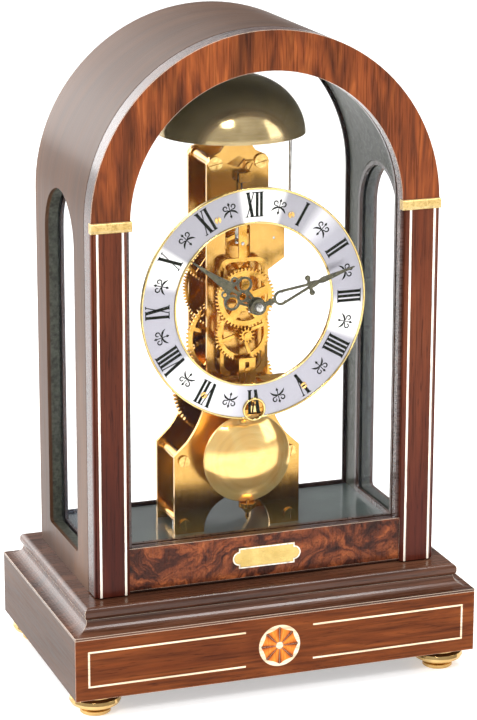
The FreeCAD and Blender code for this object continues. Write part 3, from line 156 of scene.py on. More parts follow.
def wood(
    name,
    shades,
    axis,
    rough=0.3,
    coat=0.35,
    figure=26.0,
    edge=0.0005,
    wild=1.2,
    gloss=0.3,
    edge_highlight=None,
    foot_shade=None,
):
    """Lacquered timber in dark, mid and light shades: figure, fibres and pores drawn out along the grain.
    The axis "round" runs the grain along all four upright faces of a box. A foot_shade colour, multiplied in,
    darkens the low end of an upright: painted shade. An edge_highlight colour is a painted highlight along
    the arrises."""
    look = Look(name, Coat_Weight=coat, Coat_Roughness=0.12, Specular_IOR_Level=gloss)
    at = look.place()
    if axis == "round":
        x, y, z = look.xyz(at)
        at = look.add("CombineXYZ", {0: look.math("ADD", x, y), 1: z})
    broad = look.noise(figure, grain_stretch(axis, 0.16), 5.0, wild, at)
    fibre = look.noise(620.0, grain_stretch(axis, 0.035), 5.0, 0.3, at)
    pores = look.noise(1500.0, grain_stretch(axis, 0.06), 2.0, 0.0, at)
    colour = look.ramp(broad, list(zip((0.28, 0.5, 0.72), shades)))
    streaks = look.ramp(fibre, [(0.3, (0.5, 0.46, 0.44)), (0.52, (1, 1, 1)), (0.75, (1.25, 1.2, 1.15))])
    colour = look.blend(0.85, colour, streaks, "MULTIPLY")
    dots = look.ramp(pores, [(0.3, (0.35, 0.3, 0.28)), (0.4, (1, 1, 1))])
    colour = look.blend(0.7, colour, dots, "MULTIPLY")
    # Painted shade: the foot_shade colour darkens the low end.
    if foot_shade:
        low = look.span(look.xyz()[2], 1.0, 0.0, *FOOT_SHADE_SPAN)
        colour = look.blend(low, colour, foot_shade, "MULTIPLY")
    shine = look.span(fibre, rough - 0.05, rough + 0.09, 0.3, 0.7)
    return look.finish(colour, shine, [(fibre, 0.00006), (pores, 0.00004)], edge, edge_highlight)


def bent_grain(look):
    """Object space unrolled round the arch so that the grain follows it: along the arc, y, and radius."""
    x, y, z = look.xyz()
    centre = arch_z
    above = look.math("MAXIMUM", look.math("SUBTRACT", z, centre), 0.0)
    below = look.math("MAXIMUM", look.math("SUBTRACT", centre, z), 0.0)
    turn = look.math("ARCTAN2", x, above)
    side = look.math("SIGN", x)
    along = look.math("ADD", look.math("MULTIPLY", turn, shell_r), look.math("MULTIPLY", side, below))
    radius = look.math("SQRT", look.math("ADD", look.math("POWER", x, 2.0), look.math("POWER", above, 2.0)))
    return look.add("CombineXYZ", {0: along, 1: y, 2: radius})


shell_low, shell_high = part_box("tunnel_shell")
shell_r = shell_high[0]
arch_z = shell_high[2] - shell_r
dial_z = middle("chapter_ring", 2)
ring_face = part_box("chapter_ring")[0][1]
rosette_z = middle("rosette_petals", 2)

TAUPE = several((62, 41, 28), (80, 55, 39), (102, 74, 55))
INSIDE_DEPTH = (0.0026, 0.0018)
BURL_END = (0.14, 0.16)
# Painted highlight colour for the pale lines along lacquered arrises.
PAINTED_EDGE_HIGHLIGHT = srgb(236, 214, 190)


def tunnel_wood():
    """The bent case: satin mahogany outside and on its front and rear edges, grey stain inside and on the
    window reveals."""
    look = Look("mahogany_shell", Coat_Weight=0.22, Coat_Roughness=0.2, Specular_IOR_Level=0.05)
    at = bent_grain(look)
    broad = look.noise(24.0, (0.14, 1, 1), 5.0, 0.8, at)
    fibre = look.noise(900.0, (0.03, 1, 1), 4.0, 0.2, at)
    colour = look.ramp(broad, [(0.3, TAUPE[0]), (0.52, TAUPE[1]), (0.74, TAUPE[2])])
    streaks = look.ramp(fibre, [(0.32, (0.66, 0.62, 0.6)), (0.5, (1, 1, 1)), (0.72, (1.25, 1.2, 1.16))])
    colour = look.blend(0.8, colour, streaks, "MULTIPLY")
    unrolled = look.xyz(at)
    inside = look.span(unrolled[2], 1.0, 0.0, *[shell_r - depth for depth in INSIDE_DEPTH])
    clear_of_front = look.span(unrolled[1], 0.0, 1.0, shell_low[1] + 0.0004, shell_low[1] + 0.0012)
    clear_of_rear = look.span(unrolled[1], 1.0, 0.0, shell_high[1] - 0.0012, shell_high[1] - 0.0004)
    inside = look.math("MULTIPLY", inside, look.math("MULTIPLY", clear_of_front, clear_of_rear))
    board = look.noise(420.0, (1, 1, 1), 6.0)
    stain = look.ramp(board, [(0.35, srgb(48, 50, 44)), (0.65, srgb(74, 76, 68))])
    colour = look.blend(inside, colour, stain)
    shine = look.span(fibre, 0.34, 0.46, 0.3, 0.7)
    return look.finish(colour, shine, [(fibre, 0.00007)], 0.0006)


def burl(look):
    """Burl colour: swirling eyes in red and orange over near-black brown."""
    bend = look.noise(36.0, (1, 1, 1), 3.0, 0.5)
    sway = look.blend(0.035, (0.0, 0.0, 0.0), bend)
    shift = look.add("VectorMath", {0: look.place(), 1: sway}, operation="ADD")
    cloud = look.noise(30.0, (0.8, 1, 1.1), 7.0, 3.0, shift)
    eyes = look.noise(110.0, (1, 1, 1), 6.0, 3.4, shift)
    speck = look.noise(900.0, (1, 1, 1), 3.0, 0.5)
    tones = [
        (0.3, srgb(34, 18, 13)),
        (0.42, srgb(66, 33, 22)),
        (0.5, srgb(98, 50, 30)),
        (0.6, srgb(128, 68, 38)),
        (0.72, srgb(158, 90, 50)),
    ]
    colour = look.ramp(cloud, tones)
    curls = look.ramp(eyes, [(0.34, (0.4, 0.34, 0.32)), (0.5, (1, 1, 1)), (0.7, (1.35, 1.2, 1.1))])
    colour = look.blend(0.75, colour, curls, "MULTIPLY")
    grit = look.ramp(speck, [(0.36, (0.6, 0.55, 0.5)), (0.5, (1, 1, 1))])
    return look.blend(0.8, colour, grit, "MULTIPLY")


def door_veneers():
    """Upright rosewood with dark wandering figure round the arch, and burl on the bottom rail."""
    look = Look("rosewood_and_burl", Coat_Weight=0.1, Coat_Roughness=0.1, Specular_IOR_Level=0.1)
    streak = look.noise(120.0, (1, 1, 0.14), 6.0, 1.4)
    heart = look.noise(30.0, (1, 1, 0.2), 3.0, 1.6)
    fibre = look.noise(900.0, (1, 1, 0.04), 4.0, 0.3)
    tones = several((76, 36, 16), (112, 54, 24), (134, 68, 30), (160, 88, 42))
    colour = look.ramp(streak, list(zip((0.3, 0.46, 0.6, 0.78), tones)))
    bands = look.ramp(heart, [(0.3, (0.34, 0.36, 0.34)), (0.42, (0.74, 0.74, 0.72)), (0.5, (1, 1, 1))])
    colour = look.blend(0.85, colour, bands, "MULTIPLY")
    lines = look.ramp(fibre, [(0.34, (0.5, 0.46, 0.44)), (0.5, (1, 1, 1)), (0.7, (1.2, 1.16, 1.1))])
    colour = look.blend(0.8, colour, lines, "MULTIPLY")
    low = look.span(look.xyz()[2], 1.0, 0.0, *BURL_END)
    colour = look.blend(low, colour, burl(look))
    shine = look.span(fibre, 0.24, 0.36, 0.3, 0.7)
    # The pale edge colour is a painted highlight along the arch's arrises.
    return look.finish(colour, shine, [(fibre, 0.00005)], 0.0005, PAINTED_EDGE_HIGHLIGHT)


def brass(name, dark, light, rough, axis, brush=0.000012, spots=70.0, coat=0.2):
    """Lacquered brass: clouded tone, fine brushing along one axis, uneven gloss and faint rubbing."""
    look = Look(name, Metallic=1.0, Coat_Weight=coat, Coat_Roughness=0.06)
    cloud = look.noise(spots, (1, 1, 1), 4.0, 0.6)
    lines = look.noise(2600.0, grain_stretch(axis, 0.012), 3.0)
    smear = look.noise(340.0, (1, 1, 1), 5.0, 1.0)
    colour = look.ramp(cloud, [(0.3, dark), (0.7, light)])
    marks = look.ramp(lines, [(0.3, (0.9, 0.88, 0.84)), (0.6, (1, 1, 1))])
    colour = look.blend(0.6, colour, marks, "MULTIPLY")
    shine = look.span(look.math("ADD", smear, lines), rough * 0.75, rough * 1.35, 0.7, 1.3)
    return look.finish(colour, shine, [(lines, brush)], 0.00025)


def turned_metal(name, dark, light, rough, centre, axis, rings=1700.0, metallic=1.0):
    """Metal finished on a lathe: fine rings about a line through centre along axis."""
    look = Look(name, Metallic=metallic, Coat_Weight=0.15, Coat_Roughness=0.05)
    parts = look.xyz()
    across = [i for i in range(3) if i != "xyz".index(axis)]
    squares = [look.math("POWER", look.math("SUBTRACT", parts[i], centre[i]), 2.0) for i in across]
    radius = look.math("SQRT", look.math("ADD", squares[0], squares[1]))
    at = look.add("CombineXYZ", {0: radius, 1: look.math("MULTIPLY", parts["xyz".index(axis)], 0.6)})
    groove = look.noise(rings, (1, 1, 1), 2.0, 0.0, at)
    cloud = look.noise(48.0, (1, 1, 1), 5.0, 1.0)
    colour = look.ramp(cloud, [(0.3, dark), (0.7, light)])
    lines = look.ramp(groove, [(0.35, (0.8, 0.78, 0.74)), (0.6, (1, 1, 1))])
    colour = look.blend(0.7, colour, lines, "MULTIPLY")
    shine = look.span(cloud, rough * 0.7, rough * 1.4, 0.3, 0.7)
    return look.finish(colour, shine, [(groove, 0.00001)], 0.0002)


def silver_ring():
    """The chapter ring: silvering brushed outward, with painted reflection in sunray sectors, pale and lilac
    grey by turns, where the brushing would catch the light.
    """
    look = Look("sunray_silver", Metallic=0.75, Coat_Weight=0.2, Coat_Roughness=0.1)
    x, _, z = look.xyz()
    up = look.math("SUBTRACT", z, dial_z)
    turn = look.math("ARCTAN2", x, up)
    share = look.span(turn, 0.0, 1.0, -math.pi, math.pi)
    white = srgb(250, 248, 244)
    pale = srgb(222, 220, 224)
    lilac = srgb(172, 170, 178)
    grey = srgb(162, 160, 166)
    # Painted reflection: bright and dark sectors at fixed angles round the dial.
    painted_reflection_sectors = [
        (-180, lilac),
        (-158, pale),
        (-128, white),
        (-122, lilac),
        (-78, lilac),
        (-72, white),
        (-58, white),
        (-55, grey),
        (-9, grey),
        (-6, white),
        (15, white),
        (18, grey),
        (34, grey),
        (40, pale),
        (52, lilac),
        (88, lilac),
        (97, white),
        (110, white),
        (114, lilac),
        (180, lilac),
    ]
    colour = look.ramp(share, [((a + 180) / 360, c) for a, c in painted_reflection_sectors])
    spread = look.add("CombineXYZ", {0: look.math("MULTIPLY", turn, 60.0), 1: look.math("MULTIPLY", up, 4.0)})
    rays = look.noise(9.0, (1, 1, 1), 4.0, 0.0, spread)
    lines = look.ramp(rays, [(0.3, (0.9, 0.9, 0.91)), (0.6, (1, 1, 1))])
    colour = look.blend(0.8, colour, lines, "MULTIPLY")
    shine = look.span(rays, 0.3, 0.44, 0.3, 0.7)
    return look.finish(colour, shine, [(rays, 0.000012)], 0.0002)


def petal_wood():
    """Satinwood gores, each scorched darker towards its edges as inlay makers do with hot sand."""
    look = Look("shaded_satinwood", Coat_Weight=0.1, Coat_Roughness=0.14, Specular_IOR_Level=0.15)
    x, _, z = look.xyz()
    turn = look.math("ARCTAN2", x, look.math("SUBTRACT", z, rosette_z))
    petals = 8
    step = look.math("FRACT", look.math("ADD", look.math("MULTIPLY", turn, petals / math.tau), petals))
    tones = [
        (0.0, srgb(36, 16, 8)),
        (0.06, srgb(104, 44, 12)),
        (0.16, srgb(196, 100, 28)),
        (0.4, srgb(232, 138, 44)),
        (0.7, srgb(218, 120, 34)),
        (0.86, srgb(176, 82, 22)),
        (0.95, srgb(96, 40, 12)),
        (1.0, srgb(36, 16, 8)),
    ]
    colour = look.ramp(step, tones)
    fibre = look.noise(900.0, (1, 1, 0.2), 4.0, 0.5)
    lines = look.ramp(fibre, [(0.34, (0.75, 0.68, 0.6)), (0.55, (1, 1, 1))])
    colour = look.blend(0.8, colour, lines, "MULTIPLY")
    shine = look.span(fibre, 0.22, 0.32, 0.3, 0.7)
    return look.finish(colour, shine, [(fibre, 0.00004)])


def green_board():
    """The stained and polished floor inside the case."""
    look = Look("green_floor", Coat_Weight=1.0, Coat_Roughness=0.12, Specular_IOR_Level=0.6)
    weave = look.noise(700.0, (0.25, 1, 1), 6.0, 0.4)
    cloud = look.noise(30.0, (1, 1, 1), 3.0, 0.5)
    colour = look.ramp(cloud, [(0.3, srgb(46, 56, 52)), (0.7, srgb(66, 78, 74))])
    lines = look.ramp(weave, [(0.32, (0.62, 0.64, 0.64)), (0.52, (1, 1, 1)), (0.72, (1.3, 1.3, 1.3))])
    colour = look.blend(0.8, colour, lines, "MULTIPLY")
    shine = look.span(weave, 0.3, 0.45, 0.3, 0.7)
    return look.finish(colour, shine, [(weave, 0.00008)], 0.0004)


def pane_glass():
    """Thin window glass: nearly clear face on, brighter towards grazing angles, with faint smears."""
    look = Look("window_glass", Specular_IOR_Level=0.6)
    smear = look.noise(30.0, (1, 1, 0.4), 5.0, 1.5)
    colour = look.ramp(smear, [(0.3, srgb(120, 128, 144)), (0.7, srgb(150, 158, 172))])
    fresnel = look.add("LayerWeight", {"Blend": 0.22}, "Fresnel")
    alpha = look.span(look.math("ADD", fresnel, look.math("MULTIPLY", smear, 0.03)), 0.004, 0.13)
    look.tree.links.new(alpha, look.shader.inputs["Alpha"])
    shine = look.span(smear, 0.02, 0.06, 0.3, 0.7)
    return look.finish(colour, shine, [(smear, 0.00001)])


def stippled_gilt():
    """Cast capitals: pale gilding over a fine stippled ground."""
    look = Look("stippled_gilt", Metallic=0.55, Coat_Weight=0.1, Coat_Roughness=0.2)
    pits = look.noise(700.0, (1, 1, 1), 3.0, 0.6)
    cloud = look.noise(130.0, (1, 1, 1), 4.0)
    colour = look.ramp(cloud, [(0.3, srgb(188, 156, 90)), (0.7, srgb(212, 184, 122))])
    # Darker in the pits of the stippling.
    pit_tone = look.ramp(pits, [(0.36, (0.66, 0.6, 0.42)), (0.52, (1, 1, 1))])
    colour = look.blend(0.8, colour, pit_tone, "MULTIPLY")
    shine = look.span(pits, 0.5, 0.32, 0.35, 0.6)
    # srgb(255, 240, 190) is a painted highlight along the capitals' edges.
    return look.finish(colour, shine, [(pits, 0.00012)], 0.0003, srgb(255, 240, 190))


def blued(name, dark, light, rough, metallic, coat=0.2, gloss=0.5):
    """Dark patinated metal or printing ink with small worn patches."""
    look = Look(name, Metallic=metallic, Coat_Weight=coat, Coat_Roughness=0.15, Specular_IOR_Level=gloss)
    cloud = look.noise(420.0, (1, 1, 1), 5.0, 0.4)
    fine = look.noise(2400.0, (1, 1, 1), 3.0)
    colour = look.ramp(cloud, [(0.35, dark), (0.7, light)])
    shine = look.span(fine, rough * 0.8, rough * 1.3, 0.3, 0.7)
    return look.finish(colour, shine, [(fine, 0.000015)], 0.0003)


GOLD_DARK = srgb(196, 150, 74)
GOLD_LIGHT = srgb(210, 165, 88)
PALE_DARK = srgb(214, 184, 112)
PALE_LIGHT = srgb(240, 216, 150)


def turned_about(name, node, dark, light, rough, axis, **more):
    centre = [middle(node, i) for i in range(3)]
    return turned_metal(name, dark, light, rough, centre, axis, **more)


plate_brass = brass("plate_brass", GOLD_DARK, GOLD_LIGHT, 0.2, "z", brush=0.000006)
train_brass = brass("train_brass", srgb(190, 138, 52), srgb(222, 172, 84), 0.17, "x", spots=110.0)
screw_brass = brass("screw_brass", srgb(196, 152, 80), srgb(236, 200, 126), 0.16, "x", spots=300.0)
hinge_brass = brass("hinge_brass", PALE_DARK, PALE_LIGHT, 0.16, "z", spots=200.0)
trim_brass = turned_about("trim_brass", "chapter_ring", PALE_DARK, PALE_LIGHT, 0.16, "y")
foot_brass = brass("foot_brass", srgb(190, 152, 92), srgb(224, 190, 128), 0.05, "x", brush=0.000004)
bob_brass = turned_about(
    "bob_brass", "bob", srgb(255, 198, 112), srgb(255, 222, 146), 0.12, "y", metallic=0.7
)
bell_bronze = turned_about(
    "bell_bronze", "bell", srgb(184, 160, 112), srgb(214, 192, 144), 0.16, "z", rings=900.0, metallic=0.8
)
steel = brass("bright_steel", srgb(150, 148, 142), srgb(206, 204, 198), 0.2, "y", coat=0.0, spots=240.0)
spring_steel = brass("spring_steel", srgb(70, 74, 88), srgb(128, 130, 140), 0.25, "x", coat=0.0, spots=260.0)
hand_bronze = blued("hand_bronze", srgb(58, 56, 42), srgb(96, 92, 70), 0.34, 0.65)
ink = blued("dial_ink", srgb(16, 18, 12), srgb(34, 36, 26), 0.5, 0.0, 0.0, 0.1)

BOXWOOD = several((236, 206, 164), (250, 228, 192), (255, 240, 212))
HOLLY = several((236, 220, 200), (248, 238, 222), (255, 248, 238))
FRAME_BROWN = several((44, 26, 20), (66, 40, 32), (90, 58, 46))
BEAD_BROWN = several((34, 22, 16), (58, 38, 28), (84, 56, 42))
PLINTH_BROWN = several((60, 40, 28), (76, 53, 40), (94, 69, 54))
COVE_BROWN = several((54, 30, 20), (78, 47, 32), (102, 66, 48))
FRONT_BROWN = several((88, 40, 14), (106, 52, 20), (126, 66, 28))
OXBLOOD = several((76, 33, 16), (96, 45, 23), (119, 64, 36))

cream_line = wood("boxwood", BOXWOOD, "x", 0.25, 0.4, 60.0, 0.0001)
white_line = wood("holly", HOLLY, "z", 0.2, 0.5, 60.0, 0.0001)
dark_wood = wood("mahogany_frame", FRAME_BROWN, "x", 0.26, 0.4)
bead_wood = wood("mahogany_bead", BEAD_BROWN, "z", 0.28, 0.3)
side_wood = wood("mahogany_plinth", PLINTH_BROWN, "round", 0.4, 0.12, edge=0.0007, gloss=0.08)
# The cove, slab and plinth front carry a painted highlight along their arrises.
cove_wood = wood("mahogany_cove", COVE_BROWN, "x", 0.26, 0.25, edge=0.0007, gloss=0.2, edge_highlight=PAINTED_EDGE_HIGHLIGHT)
front_wood = wood(
    "mahogany_front", FRONT_BROWN, "x", 0.34, 0.05, 60.0, wild=2.4, gloss=0.08, edge_highlight=srgb(226, 190, 160)
)
# The pilasters' foot_shade is painted shade darkening their lower ends.
oxblood_wood = wood("mahogany_pilaster", OXBLOOD, "z", 0.3, 0.08, gloss=0.1, foot_shade=(0.5, 0.36, 0.54))

FINISH = {
    "bun_feet": foot_brass,
    "plinth_carcass": side_wood,
    "plinth_veneer": front_wood,
    "cream_inlay": cream_line,
    "rosette_petals": petal_wood(),
    "cove_moulding": cove_wood,
    "case_slab": cove_wood,
    "tunnel_shell": tunnel_wood(),
    "interior_floor": green_board(),
    "case_glasses": pane_glass(),
    "case_beads": bead_wood,
    "ball_catch": steel,
    "hinge_case_leaves": hinge_brass,
    "hinge_case_screws": hinge_brass,
    "front_plate": plate_brass,
    "rear_plate": plate_brass,
    "plate_pillars": train_brass,
    "plate_screws": screw_brass,
    "seat_screws": steel,
    "bell_stand": train_brass,
    "bell": bell_bronze,
    "bell_nut": bell_bronze,
    "suspension_cock": plate_brass,
    "dial_bridges": plate_brass,
    "dial_screws": screw_brass,
    "chapter_ring": silver_ring(),
    "dial_trim": trim_brass,
    "plate_studs": train_brass,
    "door_frame": dark_wood,
    "door_veneer": door_veneers(),
    "pilasters": oxblood_wood,
    "pilaster_stringing": white_line,
    "capitals": stippled_gilt(),
    "nameplate": brass("nameplate_brass", srgb(186, 158, 92), srgb(210, 182, 114), 0.3, "x", spots=90.0),
    "door_glass": pane_glass(),
    "door_bead": bead_wood,
    "hinge_door_leaves": hinge_brass,
    "hinge_door_screws": hinge_brass,
    "barrel": train_brass,
    "mainspring": spring_steel,
    "winding_arbor": hinge_brass,
    "ratchet_wheel": train_brass,
    "click": steel,
    "second_wheel": train_brass,
    "centre_wheel": train_brass,
    "cannon_pinion": train_brass,
    "minute_hand": hand_bronze,
    "hand_nut": steel,
    "hour_wheel": train_brass,
    "hour_hand": hand_bronze,
    "minute_wheel": train_brass,
    "third_wheel": train_brass,
    "escape_wheel": train_brass,
    "anchor": steel,
    "suspension_spring": spring_steel,
    "pendulum_leader": train_brass,
    "pendulum_rod": train_brass,
    "bob": bob_brass,
    "rating_nut": train_brass,
    "hammer": steel,
}
for node, look in FINISH.items():
    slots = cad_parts[node].data.materials
    if not slots:
        slots.append(look)
    for i in range(len(slots)):
        slots[i] = look


# ---------------------------------------------------------------- printed dial and nameplate border
def raised(name, outlines, front, back, look, body):
    """Thin raised work facing -y: each outline, a list of (x, z) in metres, becomes a closed prism."""
    points = []
    faces = []
    for outline in outlines:
        n = len(outline)
        first = len(points)
        area = sum(a[0] * b[1] - b[0] * a[1] for a, b in zip(outline, outline[1:] + outline[:1]))
        ordered = outline if area > 0 else outline[::-1]
        points += [(x, front, z) for x, z in ordered] + [(x, back, z) for x, z in ordered]
        faces.append([first + i for i in range(n)])
        faces.append([first + n + i for i in reversed(range(n))])
        faces += [[first + i, first + n + i, first + n + (i + 1) % n, first + (i + 1) % n] for i in range(n)]
    mesh = bpy.data.meshes.new(name)
    mesh.from_pydata(points, [], faces)
    mesh.materials.append(look)
    piece = bpy.data.objects.new(name, mesh)
    bpy.context.scene.collection.objects.link(piece)
    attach(piece, body)
    return piece


def stroke(path, widths):
    """A brush stroke along a path of (u, v) points, with one width for each. Returns convex outlines."""
    sides = []
    for i, (u, v) in enumerate(path):
        a = path[max(i - 1, 0)]
        b = path[min(i + 1, len(path) - 1)]
        run = math.hypot(b[0] - a[0], b[1] - a[1])
        nu, nv = (a[1] - b[1]) / run, (b[0] - a[0]) / run
        half = widths[i] / 2
        sides.append(((u + nu * half, v + nv * half), (u - nu * half, v - nv * half)))
    return [[a[0], a[1], b[1], b[0]] for a, b in zip(sides, sides[1:])]


def swept(points, first, full, last, peak=0.5):
    """stroke() with a width that swells from first to full at peak of the way and falls to last."""
    n = len(points) - 1
    widths = []
    for i in range(n + 1):
        t = i / n
        part = t / peak if t < peak else (1 - t) / (1 - peak)
        end = first if t < peak else last
        widths.append(end + (full - end) * math.sin(part * math.pi / 2))
    return stroke(points, widths)


def arc(u, v, r, start, end, n=16):
    turns = [math.radians(a) for a in fractions(start, end, n)]
    return [(u + r * math.cos(turn), v + r * math.sin(turn)) for turn in turns]


def fractions(start, end, n):
    return [start + (end - start) * i / n for i in range(n + 1)]


def curve3(a, b, c, n=10):
    """Points on the quadratic curve from a to c pulled towards b."""
    return [
        tuple(a[k] * (1 - t) ** 2 + 2 * b[k] * t * (1 - t) + c[k] * t * t for k in (0, 1))
        for t in fractions(0.0, 1.0, n)
    ]


NUMERAL_H = 15.4
THICK = 1.8
THIN = 0.62
SERIF = 0.6
NUMERAL_FOOT = 54.2


def bar_outline(u0, u1, v0=0.0, v1=NUMERAL_H):
    return [(u0, v0), (u1, v0), (u1, v1), (u0, v1)]


def slant(top, bottom, width):
    return [(bottom, 0.0), (bottom + width, 0.0), (top + width, NUMERAL_H), (top, NUMERAL_H)]


def serifs(u0, u1, ends=(True, True)):
    low, high = ends
    made = []
    if low:
        made.append(bar_outline(u0, u1, 0.0, SERIF))
    if high:
        made.append(bar_outline(u0, u1, NUMERAL_H - SERIF, NUMERAL_H))
    return made


def glyph(letter):
    """Outlines and advance width of one Roman numeral letter, in millimetres."""
    if letter == "I":
        return [bar_outline(0.4, 0.4 + THICK)] + serifs(-0.15, THICK + 0.95), THICK + 0.95
    if letter == "V":
        legs = [slant(0.2, 2.5, THICK + 0.2), slant(4.9, 3.1, THIN)]
        return legs + serifs(-0.3, 2.7, (False, True)) + serifs(4.2, 6.1, (False, True)), 5.9
    legs = [slant(0.3, 3.4, THICK + 0.2), slant(4.8, 0.6, THIN)]
    tops = serifs(-0.2, 2.8, (False, True)) + serifs(4.1, 5.9, (False, True))
    feet = serifs(-0.1, 1.8, (True, False)) + serifs(2.9, 5.9, (True, False))
    return legs + tops + feet, 6.0


def on_dial(u, v, hour):
    """A point u right of and v out along the line to an hour, as (x, z) in metres."""
    a = math.tau * hour / 12
    x = u * math.cos(a) + v * math.sin(a)
    z = v * math.cos(a) - u * math.sin(a)
    return (x * MM, dial_z + z * MM)


def numerals():
    words = ["XII", "I", "II", "III", "IIII", "V", "VI", "VII", "VIII", "IX", "X", "XI"]
    made = []
    for hour, word in enumerate(words):
        width = sum(glyph(letter)[1] for letter in word)
        at = -width / 2
        for letter in word:
            outlines, advance = glyph(letter)
            for outline in outlines:
                made.append([on_dial(u + at, v + NUMERAL_FOOT, hour) for u, v in outline])
            at += advance
    return made


def lily():
    """The half-hour mark in millimetres: two curls and a lozenge above, and three leaves below."""
    made = [
        [(0, 2.7), (0.85, 3.9), (0, 5.3), (-0.85, 3.9)],
        [(0, -2.3), (0.85, -3.5), (0, -4.9), (-0.85, -3.5)],
        bar_outline(-0.25, 0.25, -2.8, 3.1),
    ]
    for s in (-1, 1):
        made += swept([(s * u, v) for u, v in curve3((0.0, -0.4), (0.9, 0.1), (1.8, 0.7), 6)], 0.4, 0.75, 0.6)
        turns = [(1.62 - 0.7 * t, math.radians(-115 + 320 * t)) for t in fractions(0.0, 1.0, 22)]
        curl = [(s * (2.5 + r * math.cos(a)), 2.2 + r * math.sin(a)) for r, a in turns]
        made += swept(curl, 0.55, 0.8, 0.5, 0.4)
        leaf = [(s * u, v) for u, v in curve3((0.1, -0.3), (3.0, -0.2), (4.7, -3.4), 9)]
        made += swept(leaf, 0.4, 1.2, 0.1, 0.5)
    return made


def half_hours():
    mark = lily()
    middle_r = 61.2
    return [[on_dial(u, v + middle_r, k + 0.5) for u, v in outline] for k in range(12) for outline in mark]


INK_T = 0.12 * MM
ink_front = ring_face - INK_T
ink_back = ring_face + 0.02 * MM
raised("dial_numerals", numerals(), ink_front, ink_back, ink, "case")
raised("half_hour_marks", half_hours(), ink_front, ink_back, ink, "case")

LOBE_R = 4.55
LOBE_OVERLAP = 0.55
PANEL_STEP = 0.2 * MM


def cartouche(inset, n=12):
    """The nameplate's outline, a bar with a round lobe at each end, drawn in by inset millimetres."""
    low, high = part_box("nameplate")
    lobe_x = high[0] / MM - LOBE_R
    centre = middle("nameplate", 2) / MM
    half = (high[2] - low[2]) / MM / 2 - inset
    side = lobe_x + LOBE_OVERLAP - inset
    r = LOBE_R - inset
    reach = math.degrees(math.acos((side - lobe_x) / r))
    points = []
    for s, turn in ((1, 0), (-1, 180)):
        points.append((s * side, centre + s * half))
        points += arc(s * lobe_x, centre, r, turn + reach, turn - reach, n)
        points.append((s * side, centre - s * half))
    return [(x * MM, z * MM) for x, z in points]


def border(outer, inner):
    n = len(outer)
    return [[outer[i], outer[(i + 1) % n], inner[(i + 1) % n], inner[i]] for i in range(n)]


plate_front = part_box("nameplate")[0][1] + PANEL_STEP
edge_line = border(cartouche(0.1), cartouche(0.9))
line_front = plate_front - INK_T
line_back = plate_front + 0.05 * MM
raised("nameplate_border", edge_line, line_front, line_back, white_line, "door")


# ---------------------------------------------------------------- floor, light and camera
def studio_floor():
    look = Look("studio_floor", Specular_IOR_Level=0.1)
    cloud = look.noise(2.0, (1, 1, 1), 3.0)
    colour = look.ramp(cloud, [(0.3, (0.86, 0.86, 0.86)), (0.7, (0.89, 0.89, 0.89))])
    look.tree.links.new(colour, look.shader.inputs["Emission Color"])
    look.shader.inputs["Emission Strength"].default_value = 0.5
    shine = look.span(cloud, 0.75, 0.85, 0.3, 0.7)
    material = look.finish(colour, shine, [])
    mesh = bpy.data.meshes.new("floor")
    half = 30.0
    corners = [(-half, -half, 0), (half, -half, 0), (half, half, 0), (-half, half, 0)]
    mesh.from_pydata(corners, [], [(0, 1, 2, 3)])
    mesh.materials.append(material)
    floor = bpy.data.objects.new("floor", mesh)
    bpy.context.scene.collection.objects.link(floor)


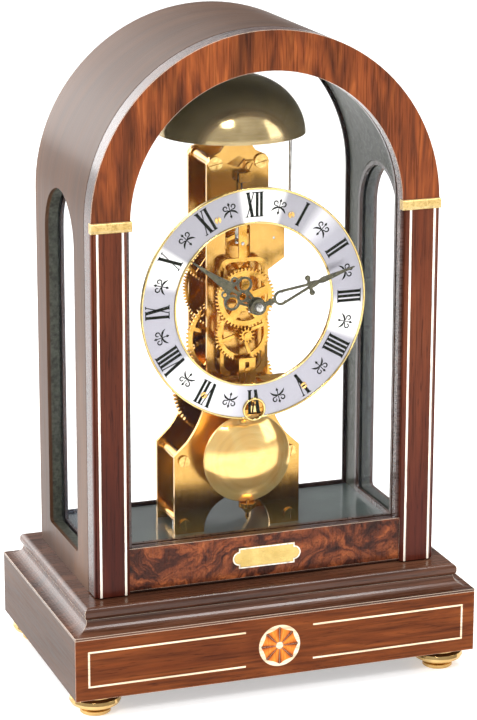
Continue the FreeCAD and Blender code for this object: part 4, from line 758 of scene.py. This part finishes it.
def studio_world():
    """Soft light from all round: brightest behind on the left, dim behind on the right."""
    world = bpy.data.worlds.new("studio")
    world.use_nodes = True
    tree = world.node_tree
    background = tree.nodes["Background"]
    place = tree.nodes.new("ShaderNodeTexCoord")

    def facing(direction, stops):
        dot = tree.nodes.new("ShaderNodeVectorMath")
        dot.operation = "DOT_PRODUCT"
        dot.inputs[1].default_value = Vector(direction).normalized()
        tree.links.new(place.outputs["Generated"], dot.inputs[0])
        ramp = tree.nodes.new("ShaderNodeValToRGB")
        elements = ramp.color_ramp.elements
        while len(elements) < len(stops):
            elements.new(1.0)
        for element, (at, level) in zip(elements, stops):
            element.position = at
            element.color = (level, level, level, 1)
        tree.links.new(dot.outputs["Value"], ramp.inputs[0])
        return ramp.outputs[0]

    def joined(kind, a, b):
        mix = tree.nodes.new("ShaderNodeMixRGB")
        mix.blend_type = kind
        mix.inputs["Fac"].default_value = 1.0
        tree.links.new(a, mix.inputs["Color1"])
        tree.links.new(b, mix.inputs["Color2"])
        return mix.outputs[0]

    panel = facing((-0.34, 0.9, 0.32), [(0.0, 0.62), (0.35, 0.7), (0.8, 0.85), (0.95, 4.8)])
    dim = facing((0.45, 0.85, 0.45), [(0.0, 1.0), (0.72, 1.0), (0.93, 0.22)])
    colour = joined("MULTIPLY", panel, dim)
    tree.links.new(colour, background.inputs["Color"])
    background.inputs["Strength"].default_value = 1.0
    bpy.context.scene.world = world


def soft_light(name, place, aim, width, height, watts):
    lamp = bpy.data.lights.new(name, "AREA")
    lamp.shape = "RECTANGLE"
    lamp.size = width
    lamp.size_y = height
    lamp.energy = watts
    thing = bpy.data.objects.new(name, lamp)
    thing.location = place
    thing.rotation_euler = (Vector(aim) - Vector(place)).to_track_quat("-Z", "Y").to_euler()
    bpy.context.scene.collection.objects.link(thing)


def camera():
    yaw, pitch, roll = math.radians(19.67), math.radians(15.82), math.radians(0.12)
    forward = Vector((math.sin(yaw) * math.cos(pitch), math.cos(yaw) * math.cos(pitch), -math.sin(pitch)))
    level = Vector((math.cos(yaw), -math.sin(yaw), 0.0))
    above = level.cross(forward)
    right = level * math.cos(roll) + above * math.sin(roll)
    up = above * math.cos(roll) - level * math.sin(roll)
    lens = bpy.data.cameras.new("camera")
    lens.lens = 137.85
    lens.sensor_width = 36.0
    lens.clip_end = 100.0
    thing = bpy.data.objects.new("camera", lens)
    turn = Matrix((right, up, -forward)).transposed().to_4x4()
    thing.matrix_world = Matrix.Translation((-0.554454, -1.557031, 0.6615)) @ turn
    bpy.context.scene.collection.objects.link(thing)
    bpy.context.scene.camera = thing


studio_floor()
studio_world()
soft_light("key", (-0.7, -1.5, 1.6), (0, 0, 0.25), 0.45, 0.45, 20.0)
soft_light("fill", (1.5, -1.1, 0.9), (0, 0, 0.2), 0.8, 1.2, 9.0)
soft_light("left", (-1.9, 0.1, 1.3), (0, 0, 0.3), 0.9, 0.9, 26.0)
soft_light("overhead", (0.5, -0.42, 1.5), (0, -0.07, 0.05), 0.5, 0.3, 10.0)
soft_light("back", (0.2, 1.6, 1.5), (0, 0, 0.2), 1.4, 0.5, 12.0)
camera()
bpy.context.scene.view_settings.view_transform = "Standard"
